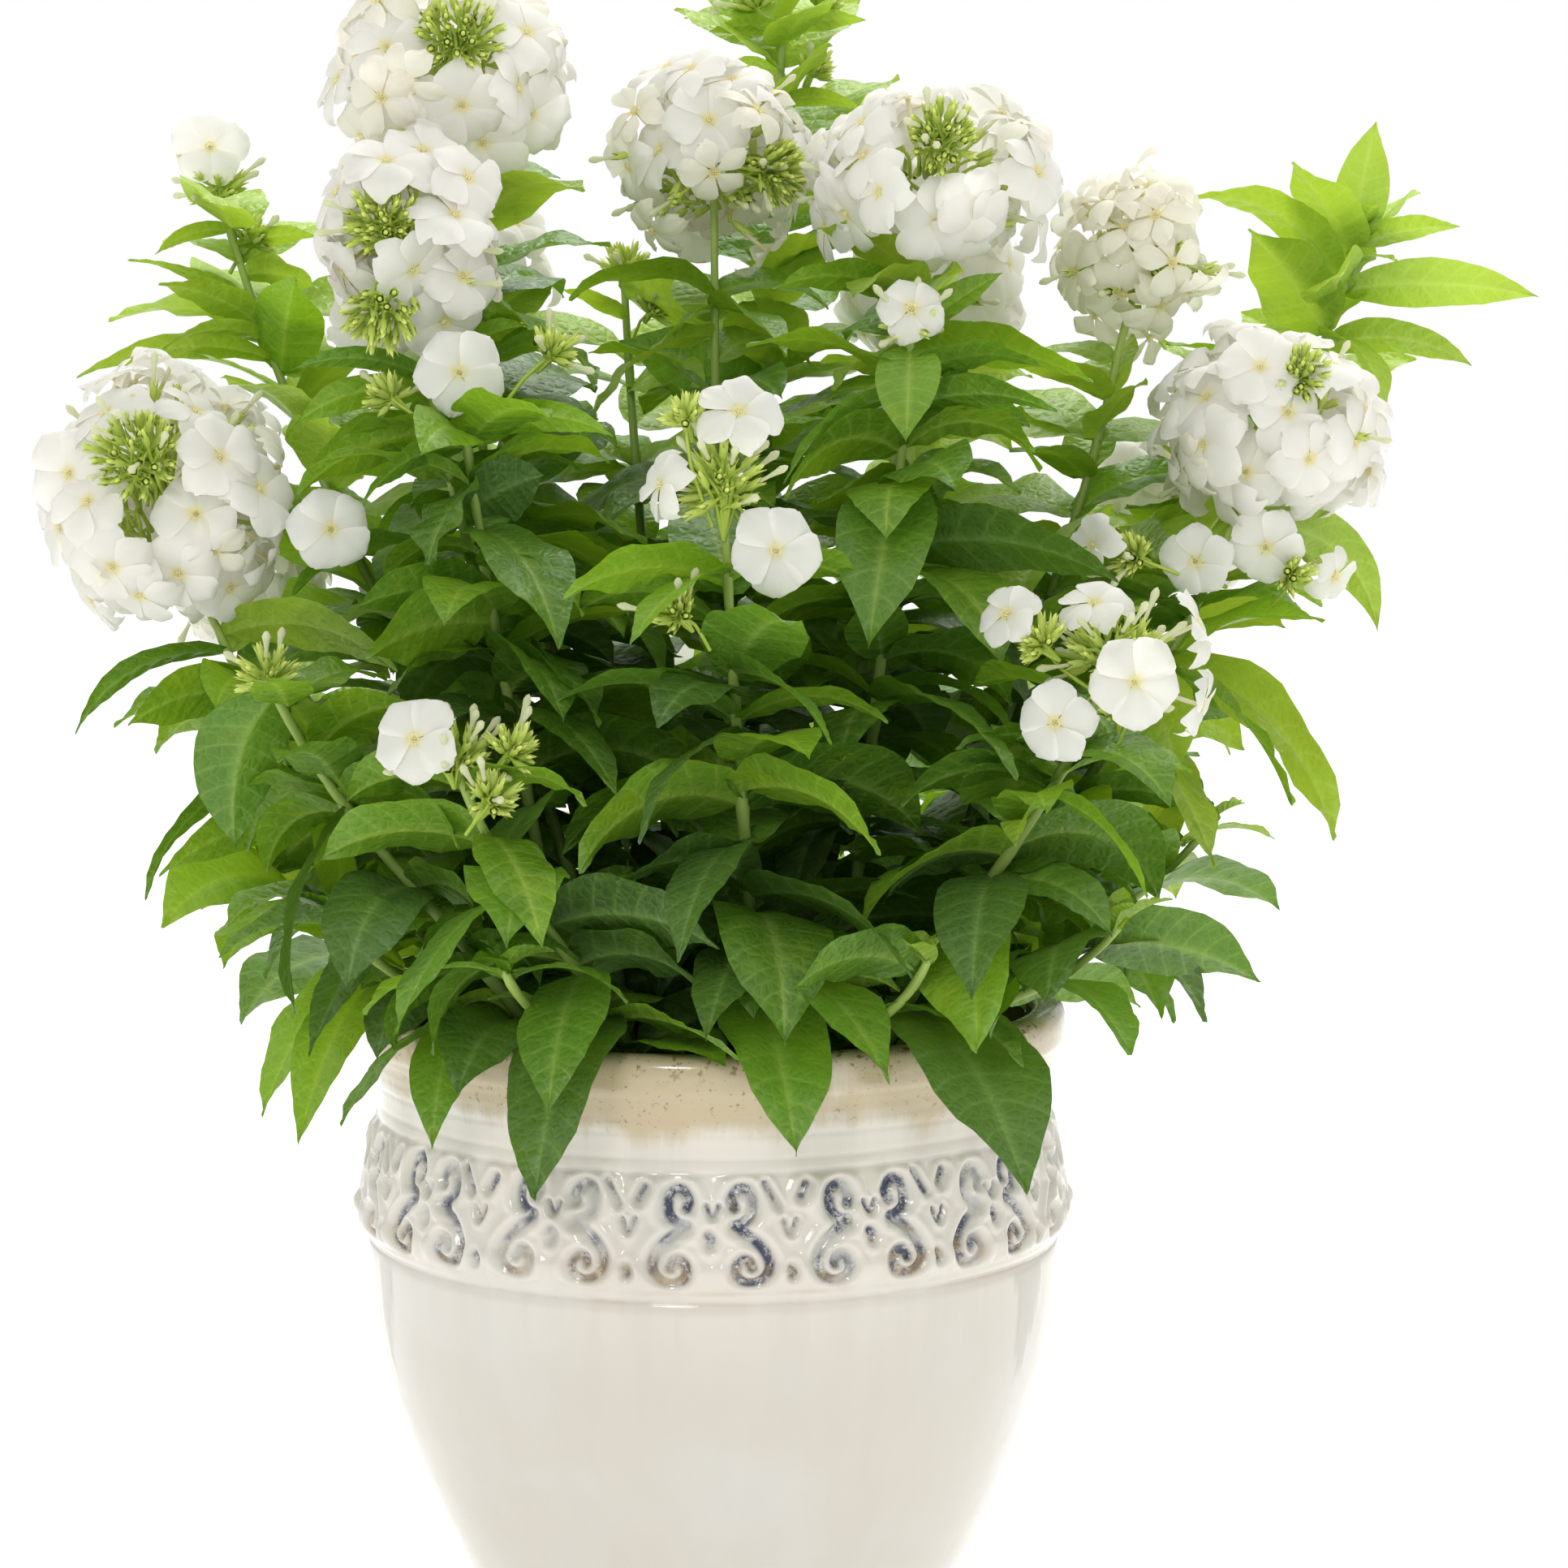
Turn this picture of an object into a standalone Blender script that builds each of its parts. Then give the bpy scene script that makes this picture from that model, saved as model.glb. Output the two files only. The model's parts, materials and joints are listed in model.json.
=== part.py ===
"""A clump of white garden phlox in a glazed stoneware pot.

Metres, +Z up. The origin is the centre of the pot's flat underside, and the front of the
plant faces -Y. Every stem rises from the compost, carries opposite pairs of leaves, each
pair turned a quarter from the last, and ends in a head of blooms, in buds or in leaves.
"""
import math
import random
from dataclasses import dataclass

import bmesh
import bpy
from mathutils import Matrix, Vector
from mathutils.bvhtree import BVHTree

MM = 0.001
GAP = 0.3 * MM                    # clearance between solids that touch in life
UP = Vector((0.0, 0.0, 1.0))
MERGE = 0.01 * MM                 # points nearer than this are one
SEAM = 0.0002 * MM                # the same after a union, which leaves them nearer still
HEAD_SEED, SET_SEED, LEAF_SEED = 100, 300, 500   # each stem adds its own number

# Pot
POT_STEPS = 36                    # facets round the pot
FOOT_RADIUS = 74 * MM             # where the body's curve meets the underside
FOOT_CHAMFER = 3 * MM
SHOULDER_RADIUS = 143.8 * MM      # widest part of the plain body
SHOULDER_HEIGHT = 190 * MM
BODY_ROWS = 5
WALL = 12 * MM
FLOOR = 18 * MM                   # thickness of the pot's bottom
RIM_INNER_RADIUS = 130 * MM
# Turned rings from the rim's lip down to the shoulder: (radius, height), mm
RIM_RINGS = (
    (131, 286), (137, 290), (143.5, 289), (145.5, 285), (145.5, 276), (142.3, 270),
    (141, 262), (139.3, 253), (140.6, 239), (144.8, 219), (145.8, 211), (147.2, 205),
    (145.8, 199), (143.8, 193),
)

# Compost
COMPOST_TOP = 262 * MM
COMPOST_DOME = 3 * MM

# Stems
STEM_FOOT_RADIUS = 3.0 * MM
STEM_TIP_RADIUS = 1.6 * MM
BARE_SHARE = 0.13                 # of a bare-footed stem's length, before its first leaves
SHOOT_BARE = 14 * MM              # the same on a shoot that is leafy from the compost up
STEM_SEGMENT = 60 * MM
STEM_SIDES = 1                    # bevel resolution of the bare stems, which gives six sides
FOOT_RISE = 4 * MM                # a stem's first stretch, which stands upright
ROOT_FLARE = 1.15
UPRIGHT_START = 0.35              # how far a stem's foot turns upwards from its chord
BEND_SHARE = 0.36
DOME_REACH = 0.98                 # from a dome's middle down to its stem, of the half-height
LOOSE_REACH = 0.5                 # the same for the small heads, which are fused to their stems

# Leaves
FIRST_PAIR = 4 * MM               # from the foot of the leafy stretch to its first pair
TOP_ROOM = 6 * MM                 # from the last pair to the stem's tip
INTERNODE = 45 * MM               # between pairs of leaves
TAPER = 1.3                       # the leaves change late rather than evenly up a stem
LEAF_HALF_WIDTH = 0.235           # of its length
LEAF_SECTIONS = ((0.0, 0.02), (0.36, 1.0), (0.70, 0.74), (1.0, 0.0))   # along, share of width
SPINE_STEPS = 8
KEEL = 0.16                       # the midrib's depth below the edges, of the half-width
ROOT_SINK = 0.7                   # how deep a leaf is rooted, of its stem's radius
PAIR_TURN = math.radians(14)      # how far a pair may be turned from square with the last
LEAF_TURN = math.radians(7)       # and one leaf from its pair
LEAF_ROLL = math.radians(14)
LEAN = 0.5                        # how far leaves turn their faces outwards
LEAN_REACH = 100 * MM             # from the middle of the plant, where they do so fully
LEAF_TRIES = 9
TRY_TURN = math.radians(13)
TRY_DROOP = 0.25
TRY_SHRINK = 0.95
LEAF_MARGIN = 0.8 * MM            # space kept between a leaf and whatever isn't its stem
FREE_FROM = 0.12                  # share of a leaf, from its root, that may be near its stem

# Blooms
BLOOM_RADIUS = 17.5 * MM
BLOOM_PETALS = 5
BLOOM_NOTCH = 0.86                # radius between two petals, of the radius at their middle
BLOOM_DEPTH = 20 * MM             # from the disc to the point that sinks into the head
BLOOM_SET = 4.5 * MM              # a bloom's disc, inside the head's outline
BLOOM_LIFT = 0.15                 # how far a head's blooms look up from square
CUP_DEPTH = 6 * MM                # the same depth on a bloom with its own stalk
STALK_RADIUS = 1.3 * MM
STALK_START = 4 * MM              # behind the disc
STALK_BEND = 3 * MM
DOME_COVER = 0.42                 # share of a dome that its blooms cover
CORE_INSET = 11 * MM              # the core's corners, inside the head's outline
BUD_POINT = (1.25, 1.65)          # reach of a tuft's points, of its half-size
BUD_WAIST = 0.62                  # and of the hollows between them


@dataclass(frozen=True)
class Stem:
    """One stem. Sizes in millimetres: its foot on the compost and the middle of its top."""

    name: str
    foot: tuple                   # x, y
    top: tuple                    # x, y, z
    kind: str = "leafy"           # dome, loose, buds or leafy
    size: tuple = (0, 0)          # the head's half-width and half-height
    own_stem: bool = False        # the leafless foot is a solid of its own
    blooms: tuple = ()            # single blooms: offset x, y, z from the top, and facing x, y, z
    # leaves set one by one: place up the stem, tip x, y, z, half-width, then in degrees
    # its bend and how far its face turns to the front
    leaves: tuple = ()
    phase: float = 0.0            # turn of the lowest pair of leaves, in degrees
    droop: float = 1.0            # how far its leaves hang, beside the others'
    upturn: float = 0.45          # how far its tip turns upwards from the line to its foot


STEMS = (
    Stem("front_middle", (20, -104), (6, -150, 510), "loose", (13, 24), True, phase=20, blooms=(
        (6, -6, 30, 0.1, -0.8, 0.7), (20, -14, -22, 0.15, -1.0, 0.1), (-24, -4, 2, -0.9, -0.4, 0.2)), leaves=(
        (48, 32, -190, 260, 20, 60, 0), (60, 72, -190, 288, 20, 60, 30),
        (88, 79, -195, 329, 19, 60, 45), (112, -15, -200, 336, 14, 60, 30),
        (72, 0, -195, 305, 13, 50, 20), (220, -26, -190, 454, 11, 60, 40),
        (180, 48, -185, 416, 13, 60, 45), (152, -25, -190, 379, 13, 80, 45),
        (132, 66, -190, 375, 17, 60, 50),)),
    Stem("front_left", (-24, -94), (-96, -166, 408), "loose", (14, 13), True, phase=70, blooms=(
        (-14, -16, 10, -0.35, -1.0, 0.25),), leaves=(
        (69, -97, -185, 272, 20, 60, 30), (46, -70, -178, 241, 21, 70, 20),
        (43, 10, -175, 294, 11, 40, 50), (95, 5, -180, 338, 17, 50, 60),
        (118, -117, -190, 307, 17, 60, 40), (144, -63, -210, 343, 13, 60, 20),)),
    Stem("left_single", (-56, -60), (-97, -98, 545), "loose", (6, 7), True, phase=35, blooms=(
        (0, -6, 8, 0.05, -1.0, 0.2),), leaves=(
        (204, -139, -110, 461, 14, 50, 55), (195, -134, -110, 441, 19, 50, 60),
        (233, -57, -150, 449, 18, 70, 10), (266, -133, -130, 503, 12, 60, 50),
        (161, -37, -150, 393, 15, 60, 40), (252, -110, -110, 478, 19, 50, 30),
        (242, -65, -90, 512, 15, 30, 50), (271, -36, -110, 528, 8, 60, 50),)),
    Stem("right_low", (62, -76), (156, -138, 446), "loose", (20, 16), True, phase=15, blooms=(
        (6, -26, -8, 0.1, -1.0, 0.1), (-24, -22, -24, -0.35, -1.0, 0.0),
        (-42, -4, 16, -0.5, -0.7, 0.5), (-8, 2, 20, -0.1, -0.5, 0.9),
        (32, 0, 12, 1.0, -0.2, 0.5), (34, 2, -20, 1.0, -0.3, -0.3)), leaves=(
        (45, 118, -180, 243, 27, 60, 25), (111, 97, -190, 320, 17, 60, 0),
        (153, 168, -150, 353, 11, 60, 40),)),
    Stem("left_low", (-86, -38), (-218, -50, 500), "dome", (52, 57), True, phase=60, blooms=(
        (69, -40, -9, 0.25, -1.0, 0.1),), leaves=(
        (76, -132, -140, 273, 13, 70, 10), (127, -219, -90, 353, 14, 50, 60),
        (215, -128, -110, 442, 14, 50, 60), (189, -231, -80, 412, 14, 50, 60),
        (207, -255, -60, 406, 8, 80, 30), (153, -228, -60, 339, 8, 80, 40),)),
    Stem("left_inner", (-40, -28), (-120, -68, 600), "dome", (36, 50), True, phase=10, leaves=(
        (296, -178, -60, 552, 6, 60, 50), (291, -166, -60, 530, 8, 60, 50),
        (276, -164, -70, 503, 14, 50, 55), (296, -72, -50, 570, 7, 50, 50),)),
    Stem("left_crown", (-36, 10), (-108, 0, 672), "dome", (50, 44), True, phase=45),
    Stem("left_top", (-66, 34), (-213, 100, 624), "loose", (9, 12), phase=80, droop=0.6, blooms=(
        (-3, -4, 18, -0.05, -1.0, 0.3),), leaves=(
        (339, -246, 60, 594, 5, 40, 40), (332, -235, 50, 584, 9, 40, 50),
        (326, -231, 40, 557, 6, 60, 50), (319, -265, 40, 545, 7, 50, 50),
        (358, -170, 80, 582, 9, 40, 55), (378, -239, 80, 596, 5, 50, 50),
        (371, -169, 90, 604, 5, 30, 50),)),
    Stem("middle", (2, 18), (0, 30, 636), "dome", (41, 46), True, phase=25, leaves=(
        (301, -49, -20, 533, 12, 60, 50), (312, 32, -15, 555, 13, 60, 40),
        (312, -18, 0, 561, 5, 60, 40),)),
    Stem("right_crown", (38, -4), (86, -20, 628), "dome", (53, 39), True, phase=75, leaves=(
        (298, 153, -60, 547, 13, 40, 60), (320, 23, -50, 584, 8, 50, 50),
        (304, 118, -10, 590, 8, 15, 50),)),
    Stem("middle_buds", (12, 52), (29, 100, 728), "buds", (10, 14), phase=50, droop=0.6, leaves=(
        (431, -3, 90, 690, 5, 40, 50), (431, 64, 90, 695, 5, 30, 50),
        (400, 62, 80, 657, 5, 50, 50),)),
    Stem("middle_single", (52, -40), (79, -80, 570), "loose", (5, 6), phase=5, blooms=(
        (0, -4, 7, 0.1, -1.0, 0.4),), leaves=(
        (247, 65, -150, 449, 18, 60, 10), (159, 113, -165, 400, 14, 60, 50),
        (221, 158, -110, 471, 17, 50, 60), (303, 77, -115, 526, 12, 50, 0),
        (283, 29, -120, 510, 9, 60, 50), (278, 136, -100, 537, 9, 50, 55),)),
    Stem("right_old", (80, 26), (177, 50, 596), "dome", (34, 42), True, phase=65),
    Stem("right_big", (84, -14), (227, 0, 526), "dome", (46, 45), True, phase=30, blooms=(
        (-2, -22, -47, 0.0, -1.0, -0.2), (-31, -30, -52, -0.2, -1.0, -0.1),
        (28, -6, -60, 0.7, -0.7, -0.4), (-74, -40, -45, -0.8, -0.6, 0.2)), leaves=(
        (198, 253, -40, 361, 18, 70, 50), (193, 234, -70, 379, 15, 60, 50),
        (163, 197, -90, 356, 15, 60, 40), (254, 310, 0, 441, 14, 90, 50),)),
    Stem("right_far", (66, 40), (276, 98, 606), "leafy", phase=84, droop=0.5, upturn=1.2, leaves=(
        (383, 197, 70, 619, 11, 80, 40), (383, 353, 95, 578, 11, 25, 60),
        (362, 227, 90, 607, 19, 20, 50), (362, 282, 50, 528, 12, 90, 40),
        (356, 322, 80, 549, 9, 60, 50), (403, 283, 100, 653, 11, 10, 30),
        (403, 260, 90, 631, 7, 20, 30), (403, 317, 85, 608, 7, 30, 50),
        (397, 289, 70, 593, 7, 40, 40), (403, 295, 95, 630, 6, 10, 20),)),
    Stem("left_front", (-58, -88), (-170, -130, 436), "buds", (7, 8), phase=55, leaves=(
        (153, -161, -130, 304, 19, 60, 25), (205, -187, -110, 367, 17, 70, 30),)),
    Stem("middle_back", (-16, 80), (-40, 106, 588), "buds", (8, 10), phase=20, leaves=(
        (317, 2, 60, 563, 20, 30, 60), (307, -66, 80, 582, 5, 30, 40),)),
    Stem("back_left", (-72, 62), (-206, 124, 462), "dome", (42, 42), True, phase=40),
    Stem("back_left_top", (-40, 50), (-116, 132, 596), "dome", (42, 40), True, phase=85),
    Stem("back_right_top", (26, 66), (96, 140, 584), "dome", (42, 40), True, phase=15),
    Stem("back_right", (70, 66), (206, 132, 484), "dome", (42, 40), True, phase=50),
    Stem("back_middle", (-6, 98), (-6, 212, 440), "loose", (18, 18), phase=30, blooms=(
        (0, 22, 2, 0.0, 1.0, 0.2), (-26, 8, 8, -0.8, 0.7, 0.3), (26, 8, 8, 0.8, 0.7, 0.3),
        (0, 10, 26, 0.0, 0.5, 1.0), (-4, 18, -28, -0.1, 1.0, -0.2))),
    Stem("back_low_left", (-46, 76), (-128, 206, 388), "buds", (8, 9), phase=10),
    Stem("back_low_right", (44, 72), (128, 212, 384), "leafy", phase=75),
    Stem("rim_left", (-90, -6), (-196, 6, 352), "leafy", phase=45, leaves=(
        (73, -179, -60, 250, 14, 55, 40), (61, -165, -95, 246, 15, 60, 35),
        (108, -198, -70, 313, 17, 50, 60),)),
    Stem("rim_left_front", (-66, -54), (-146, -116, 340), "leafy", phase=0, leaves=(
        (58, -143, -125, 259, 15, 60, 45), (54, -111, -150, 255, 13, 60, 20),)),
    Stem("rim_front_left", (-38, -72), (-78, -158, 326), "leafy", phase=30),
    Stem("rim_front_right", (40, -74), (84, -158, 330), "leafy", phase=60, leaves=(
        (26, 56, -168, 254, 14, 50, 10), (47, 68, -160, 252, 14, 50, 0),)),
    Stem("rim_right_front", (66, -46), (160, -112, 336), "leafy", phase=20, leaves=(
        (95, 162, -150, 292, 19, 60, 40), (122, 217, -100, 313, 18, 45, 60),)),
    Stem("rim_right", (88, 10), (206, 16, 360), "leafy", phase=80, leaves=(
        (88, 185, -60, 291, 18, 50, 40),)),
    Stem("rim_back_left", (-80, 36), (-176, 84, 346), "leafy", phase=15),
)


@dataclass(frozen=True)
class Trait:
    """A measure of the seeded leaves: low on a stem, at its top, and how far they differ."""

    low: float
    top: float
    spread: float

    def at(self, share, dice):
        return self.low + (self.top - self.low) * share + dice.uniform(-self.spread, self.spread)


LENGTH = Trait(104 * MM, 62 * MM, 10 * MM)
RISE = Trait(18, 40, 9)           # degrees above level where a leaf leaves its stem
DROOP = Trait(112, 70, 16)        # degrees through which it bends down to its tip


# ---------------------------------------------------------------- scene and materials

def clear_scene():
    for thing in list(bpy.data.objects):
        bpy.data.objects.remove(thing, do_unlink=True)


def make_collection(name):
    collection = bpy.data.collections.new(name)
    bpy.context.scene.collection.children.link(collection)
    return collection


def make_material(name, colour, roughness):
    material = bpy.data.materials.new(name)
    material.use_nodes = True
    shader = material.node_tree.nodes["Principled BSDF"]
    shader.inputs["Base Color"].default_value = (*colour, 1.0)
    shader.inputs["Roughness"].default_value = roughness
    return material


def add_object(name, mesh, collection, material=None):
    thing = bpy.data.objects.new(name, mesh)
    collection.objects.link(thing)
    if material is not None:
        mesh.materials.clear()
        mesh.materials.append(material)
    return thing


# ---------------------------------------------------------------- pot and compost

def body_radius(height):
    """The plain body swells from the foot to the shoulder as a quarter of a sine wave."""
    swell = math.sin(math.pi / 2 * height / SHOULDER_HEIGHT)
    return FOOT_RADIUS + (SHOULDER_RADIUS - FOOT_RADIUS) * swell


def turned(name, profile, steps, collection, material):
    """Turns a profile of (radius, height) points round the Z axis."""
    mesh = bpy.data.meshes.new(name)
    edges = [(i, i + 1) for i in range(len(profile) - 1)]
    mesh.from_pydata([(radius, 0.0, height) for radius, height in profile], edges, [])
    thing = add_object(name, mesh, collection, material)
    screw = thing.modifiers.new("Turn", "SCREW")
    screw.axis = "Z"
    screw.steps = screw.render_steps = steps
    screw.use_merge_vertices = True
    screw.merge_threshold = MERGE
    screw.use_smooth_shade = True
    return thing


def inner_profile(clearance=0.0):
    """The inside of the pot from its floor up to the lip, taken in by a clearance."""
    heights = (FLOOR + clearance, 70 * MM, 130 * MM, SHOULDER_HEIGHT)
    wall = [(body_radius(h) - WALL - clearance, h) for h in heights]
    return wall + [(RIM_INNER_RADIUS - clearance, 232 * MM)]


def build_pot(collection, material):
    inside = [(0.0, FLOOR)] + inner_profile() + [(RIM_INNER_RADIUS, 280 * MM)]
    rings = [(radius * MM, height * MM) for radius, height in RIM_RINGS]
    step = SHOULDER_HEIGHT / BODY_ROWS
    body = [(body_radius(h), h) for h in (SHOULDER_HEIGHT - step * i for i in range(1, BODY_ROWS))]
    foot = [(body_radius(FOOT_CHAMFER), FOOT_CHAMFER), (FOOT_RADIUS - FOOT_CHAMFER, 0.0), (0.0, 0.0)]
    return turned("pot", inside + rings + body + foot, POT_STEPS, collection, material)


def build_compost(collection, material):
    side = inner_profile(GAP)
    top = [(0.0, COMPOST_TOP), (RIM_INNER_RADIUS - GAP, COMPOST_TOP - COMPOST_DOME)]
    profile = top + side[::-1] + [(0.0, FLOOR + GAP)]
    return turned("compost", profile, POT_STEPS, collection, material)


# ---------------------------------------------------------------- stems

class StemPath:
    """A stem's centre line: it leaves the compost upright, leans out and turns up again."""

    def __init__(self, stem):
        foot = Vector((stem.foot[0] * MM, stem.foot[1] * MM, COMPOST_TOP + GAP))
        start = foot + UP * FOOT_RISE
        top = Vector(stem.top) * MM
        chord = (top - start).normalized()
        upturn = (chord + UP * stem.upturn).normalized()
        reach = stem.size[1] * MM * (DOME_REACH if stem.kind == "dome" else LOOSE_REACH)
        end = top - upturn * reach
        bend = (end - start).length * BEND_SHARE
        first = start + (chord + UP * UPRIGHT_START).normalized() * bend
        second = end - upturn * bend
        count = max(2, round((end - start).length / STEM_SEGMENT))
        curve = [self.bezier(i / count, start, first, second, end) for i in range(count + 1)]
        self.points = [foot] + curve
        self.marks = [0.0]
        for before, after in zip(self.points, self.points[1:]):
            self.marks.append(self.marks[-1] + (after - before).length)
        self.length = self.marks[-1]

    @staticmethod
    def bezier(t, a, b, c, d):
        u = 1.0 - t
        return a * u ** 3 + b * (3 * u * u * t) + c * (3 * u * t * t) + d * t ** 3

    def at(self, distance):
        """The point at a distance from the foot."""
        i = 0
        while i < len(self.marks) - 2 and self.marks[i + 1] < distance:
            i += 1
        share = (distance - self.marks[i]) / (self.marks[i + 1] - self.marks[i])
        return self.points[i].lerp(self.points[i + 1], share)

    def radius(self, distance):
        flare = ROOT_FLARE if distance == 0.0 else 1.0
        share = distance / self.length
        return (STEM_FOOT_RADIUS + (STEM_TIP_RADIUS - STEM_FOOT_RADIUS) * share) * flare

    def stretch(self, start, end):
        """Points and radii from one distance to another, both cut square to the line."""
        places = [start] + [mark for mark in self.marks if start < mark < end] + [end]
        return [self.at(place) for place in places], [self.radius(place) for place in places]


def faces_of(mesh):
    """A mesh's vertices and faces, as the space test wants them."""
    return [v.co.copy() for v in mesh.vertices], [tuple(p.vertices) for p in mesh.polygons]


def tube_mesh(points, radii, collection, sides_resolution=0):
    """A closed tube as a mesh with no object."""
    thing = tube("tube", points, radii, collection, sides_resolution)
    mesh = thing.data
    bpy.data.objects.remove(thing, do_unlink=True)
    return mesh


def tube(name, points, radii, collection, sides_resolution=0):
    """A closed tube of a poly spline, as a mesh."""
    curve = bpy.data.curves.new(name, "CURVE")
    curve.dimensions = "3D"
    curve.bevel_depth = 1.0
    curve.bevel_resolution = sides_resolution
    curve.use_fill_caps = True
    spline = curve.splines.new("POLY")
    spline.points.add(len(points) - 1)
    for knot, point, radius in zip(spline.points, points, radii):
        knot.co = (*point, 1.0)
        knot.radius = radius
    line = bpy.data.objects.new(name + "_line", curve)
    collection.objects.link(line)
    graph = bpy.context.evaluated_depsgraph_get()
    mesh = bpy.data.meshes.new_from_object(line.evaluated_get(graph))
    bpy.data.objects.remove(line, do_unlink=True)
    bpy.data.curves.remove(curve)
    shape = bmesh.new()
    shape.from_mesh(mesh)
    bmesh.ops.remove_doubles(shape, verts=shape.verts, dist=MERGE)
    bmesh.ops.recalc_face_normals(shape, faces=shape.faces)
    shape.to_mesh(mesh)
    shape.free()
    mesh.name = name
    return add_object(name, mesh, collection)


# ---------------------------------------------------------------- leaves

@dataclass
class Leaf:
    """One leaf: where it is rooted, which way it leaves, and how it bends."""

    root: Vector
    out: Vector                   # level direction away from the stem
    length: float
    rise: float                   # angle above level where it leaves the stem
    droop: float                  # angle through which it bends down to its tip
    roll: float
    width: float = LEAF_HALF_WIDTH

    def direction(self, angle):
        return self.out * math.cos(angle) + UP * math.sin(angle)

    def spine(self, share):
        """The point at a share of the leaf's length, and the direction there."""
        point = self.root.copy()
        step = share * self.length / SPINE_STEPS
        for i in range(SPINE_STEPS):
            angle = self.rise - self.droop * share * (i + 0.5) / SPINE_STEPS
            point += self.direction(angle) * step
        return point, self.direction(self.rise - self.droop * share)

    def section(self, share, width_share, grow=0.0):
        """The left edge, right edge and keel of a section across the leaf."""
        point, ahead = self.spine(share)
        side = Matrix.Rotation(self.roll, 3, ahead) @ self.out.cross(UP).normalized()
        below = ahead.cross(side).normalized()
        if below.z > 0:
            below = -below
        half = self.length * self.width * width_share
        lift = below * (half * KEEL * 0.5 + grow)
        edge = side * (half + grow)
        return point - edge - lift, point + edge - lift, point + lift

    def shape(self, start=0.0, grow=0.0):
        """Vertices and faces: a folded blade of 12 triangles, from start to the tip."""
        (_, root_width), low, high, (_, _) = LEAF_SECTIONS
        first = self.spine(start)[0] if start else self.root
        left1, right1, keel1 = self.section(*low, grow)
        left2, right2, keel2 = self.section(*high, grow)
        tip = self.spine(1.0)[0]
        vertices = [first, left1, right1, keel1, left2, right2, keel2, tip]
        faces = [(0, 2, 1), (0, 1, 3), (0, 3, 2), (1, 2, 5), (1, 5, 4), (3, 1, 4), (3, 4, 6),
                 (2, 3, 6), (2, 6, 5), (4, 5, 7), (6, 4, 7), (5, 6, 7)]
        return vertices, faces


class Space:
    """Everything that is already placed, to keep new pieces clear of it."""

    def __init__(self):
        self.taken = []

    @staticmethod
    def box(vertices):
        low = Vector([min(v[i] for v in vertices) for i in range(3)])
        high = Vector([max(v[i] for v in vertices) for i in range(3)])
        return low, high

    def add(self, owner, vertices, faces):
        self.taken.append((owner, *self.box(vertices), BVHTree.FromPolygons(vertices, faces)))

    def is_clear(self, vertices, faces, whose=None, own=False):
        """Tests against what isn't whose, or with own only against what is."""
        low, high = self.box(vertices)
        tree = None
        for owner, other_low, other_high, other in self.taken:
            if (owner == whose) != own:
                continue
            if any(low[i] > other_high[i] or high[i] < other_low[i] for i in range(3)):
                continue
            tree = tree or BVHTree.FromPolygons(vertices, faces)
            if tree.overlap(other):
                return False
        return True


def place_leaf(space, leaf, owner, dice):
    """Turns, droops and shortens a leaf until it is clear of all else. None if it never is."""
    home = leaf.out.copy()
    for attempt in range(LEAF_TRIES):
        sizes = (0.0, LEAF_MARGIN)
        apart = all(space.is_clear(*leaf.shape(0.0, grow), whose=owner) for grow in sizes)
        if apart and space.is_clear(*leaf.shape(FREE_FROM, LEAF_MARGIN), whose=owner, own=True):
            space.add(owner, *leaf.shape())
            return leaf
        turn = TRY_TURN * (attempt // 2 + 1) * (-1) ** attempt
        leaf.out = Matrix.Rotation(turn, 3, "Z") @ home
        leaf.droop += dice.uniform(-TRY_DROOP, TRY_DROOP)
        leaf.length *= TRY_SHRINK
    return None


def set_leaf(path, distance, tip, half_width, droop, face):
    """The leaf of one node whose tip is at a given point, as an arc between the two."""
    node = path.at(distance)
    level = Vector((tip.x - node.x, tip.y - node.y, 0.0))
    out = level.normalized()
    root = node - out * path.radius(distance) * ROOT_SINK
    reach = tip - root
    half_bend = math.radians(droop) / 2
    length = reach.length * half_bend / math.sin(half_bend)
    rise = math.atan2(reach.z, reach.xy.length) + half_bend
    roll = math.radians(face) * out.x
    return Leaf(root, out, length, rise, half_bend * 2, roll, half_width / length)


def set_leaves(stem, path, space, dice):
    """The leaves that are set one by one, as many as there is room for."""
    leaves = []
    for distance, x, y, z, half_width, droop, face in stem.leaves:
        tip = Vector((x, y, z)) * MM
        leaf = set_leaf(path, distance * MM, tip, half_width * MM, droop, face)
        leaves.append(place_leaf(space, leaf, stem.name, dice))
    return [leaf for leaf in leaves if leaf is not None]


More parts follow.
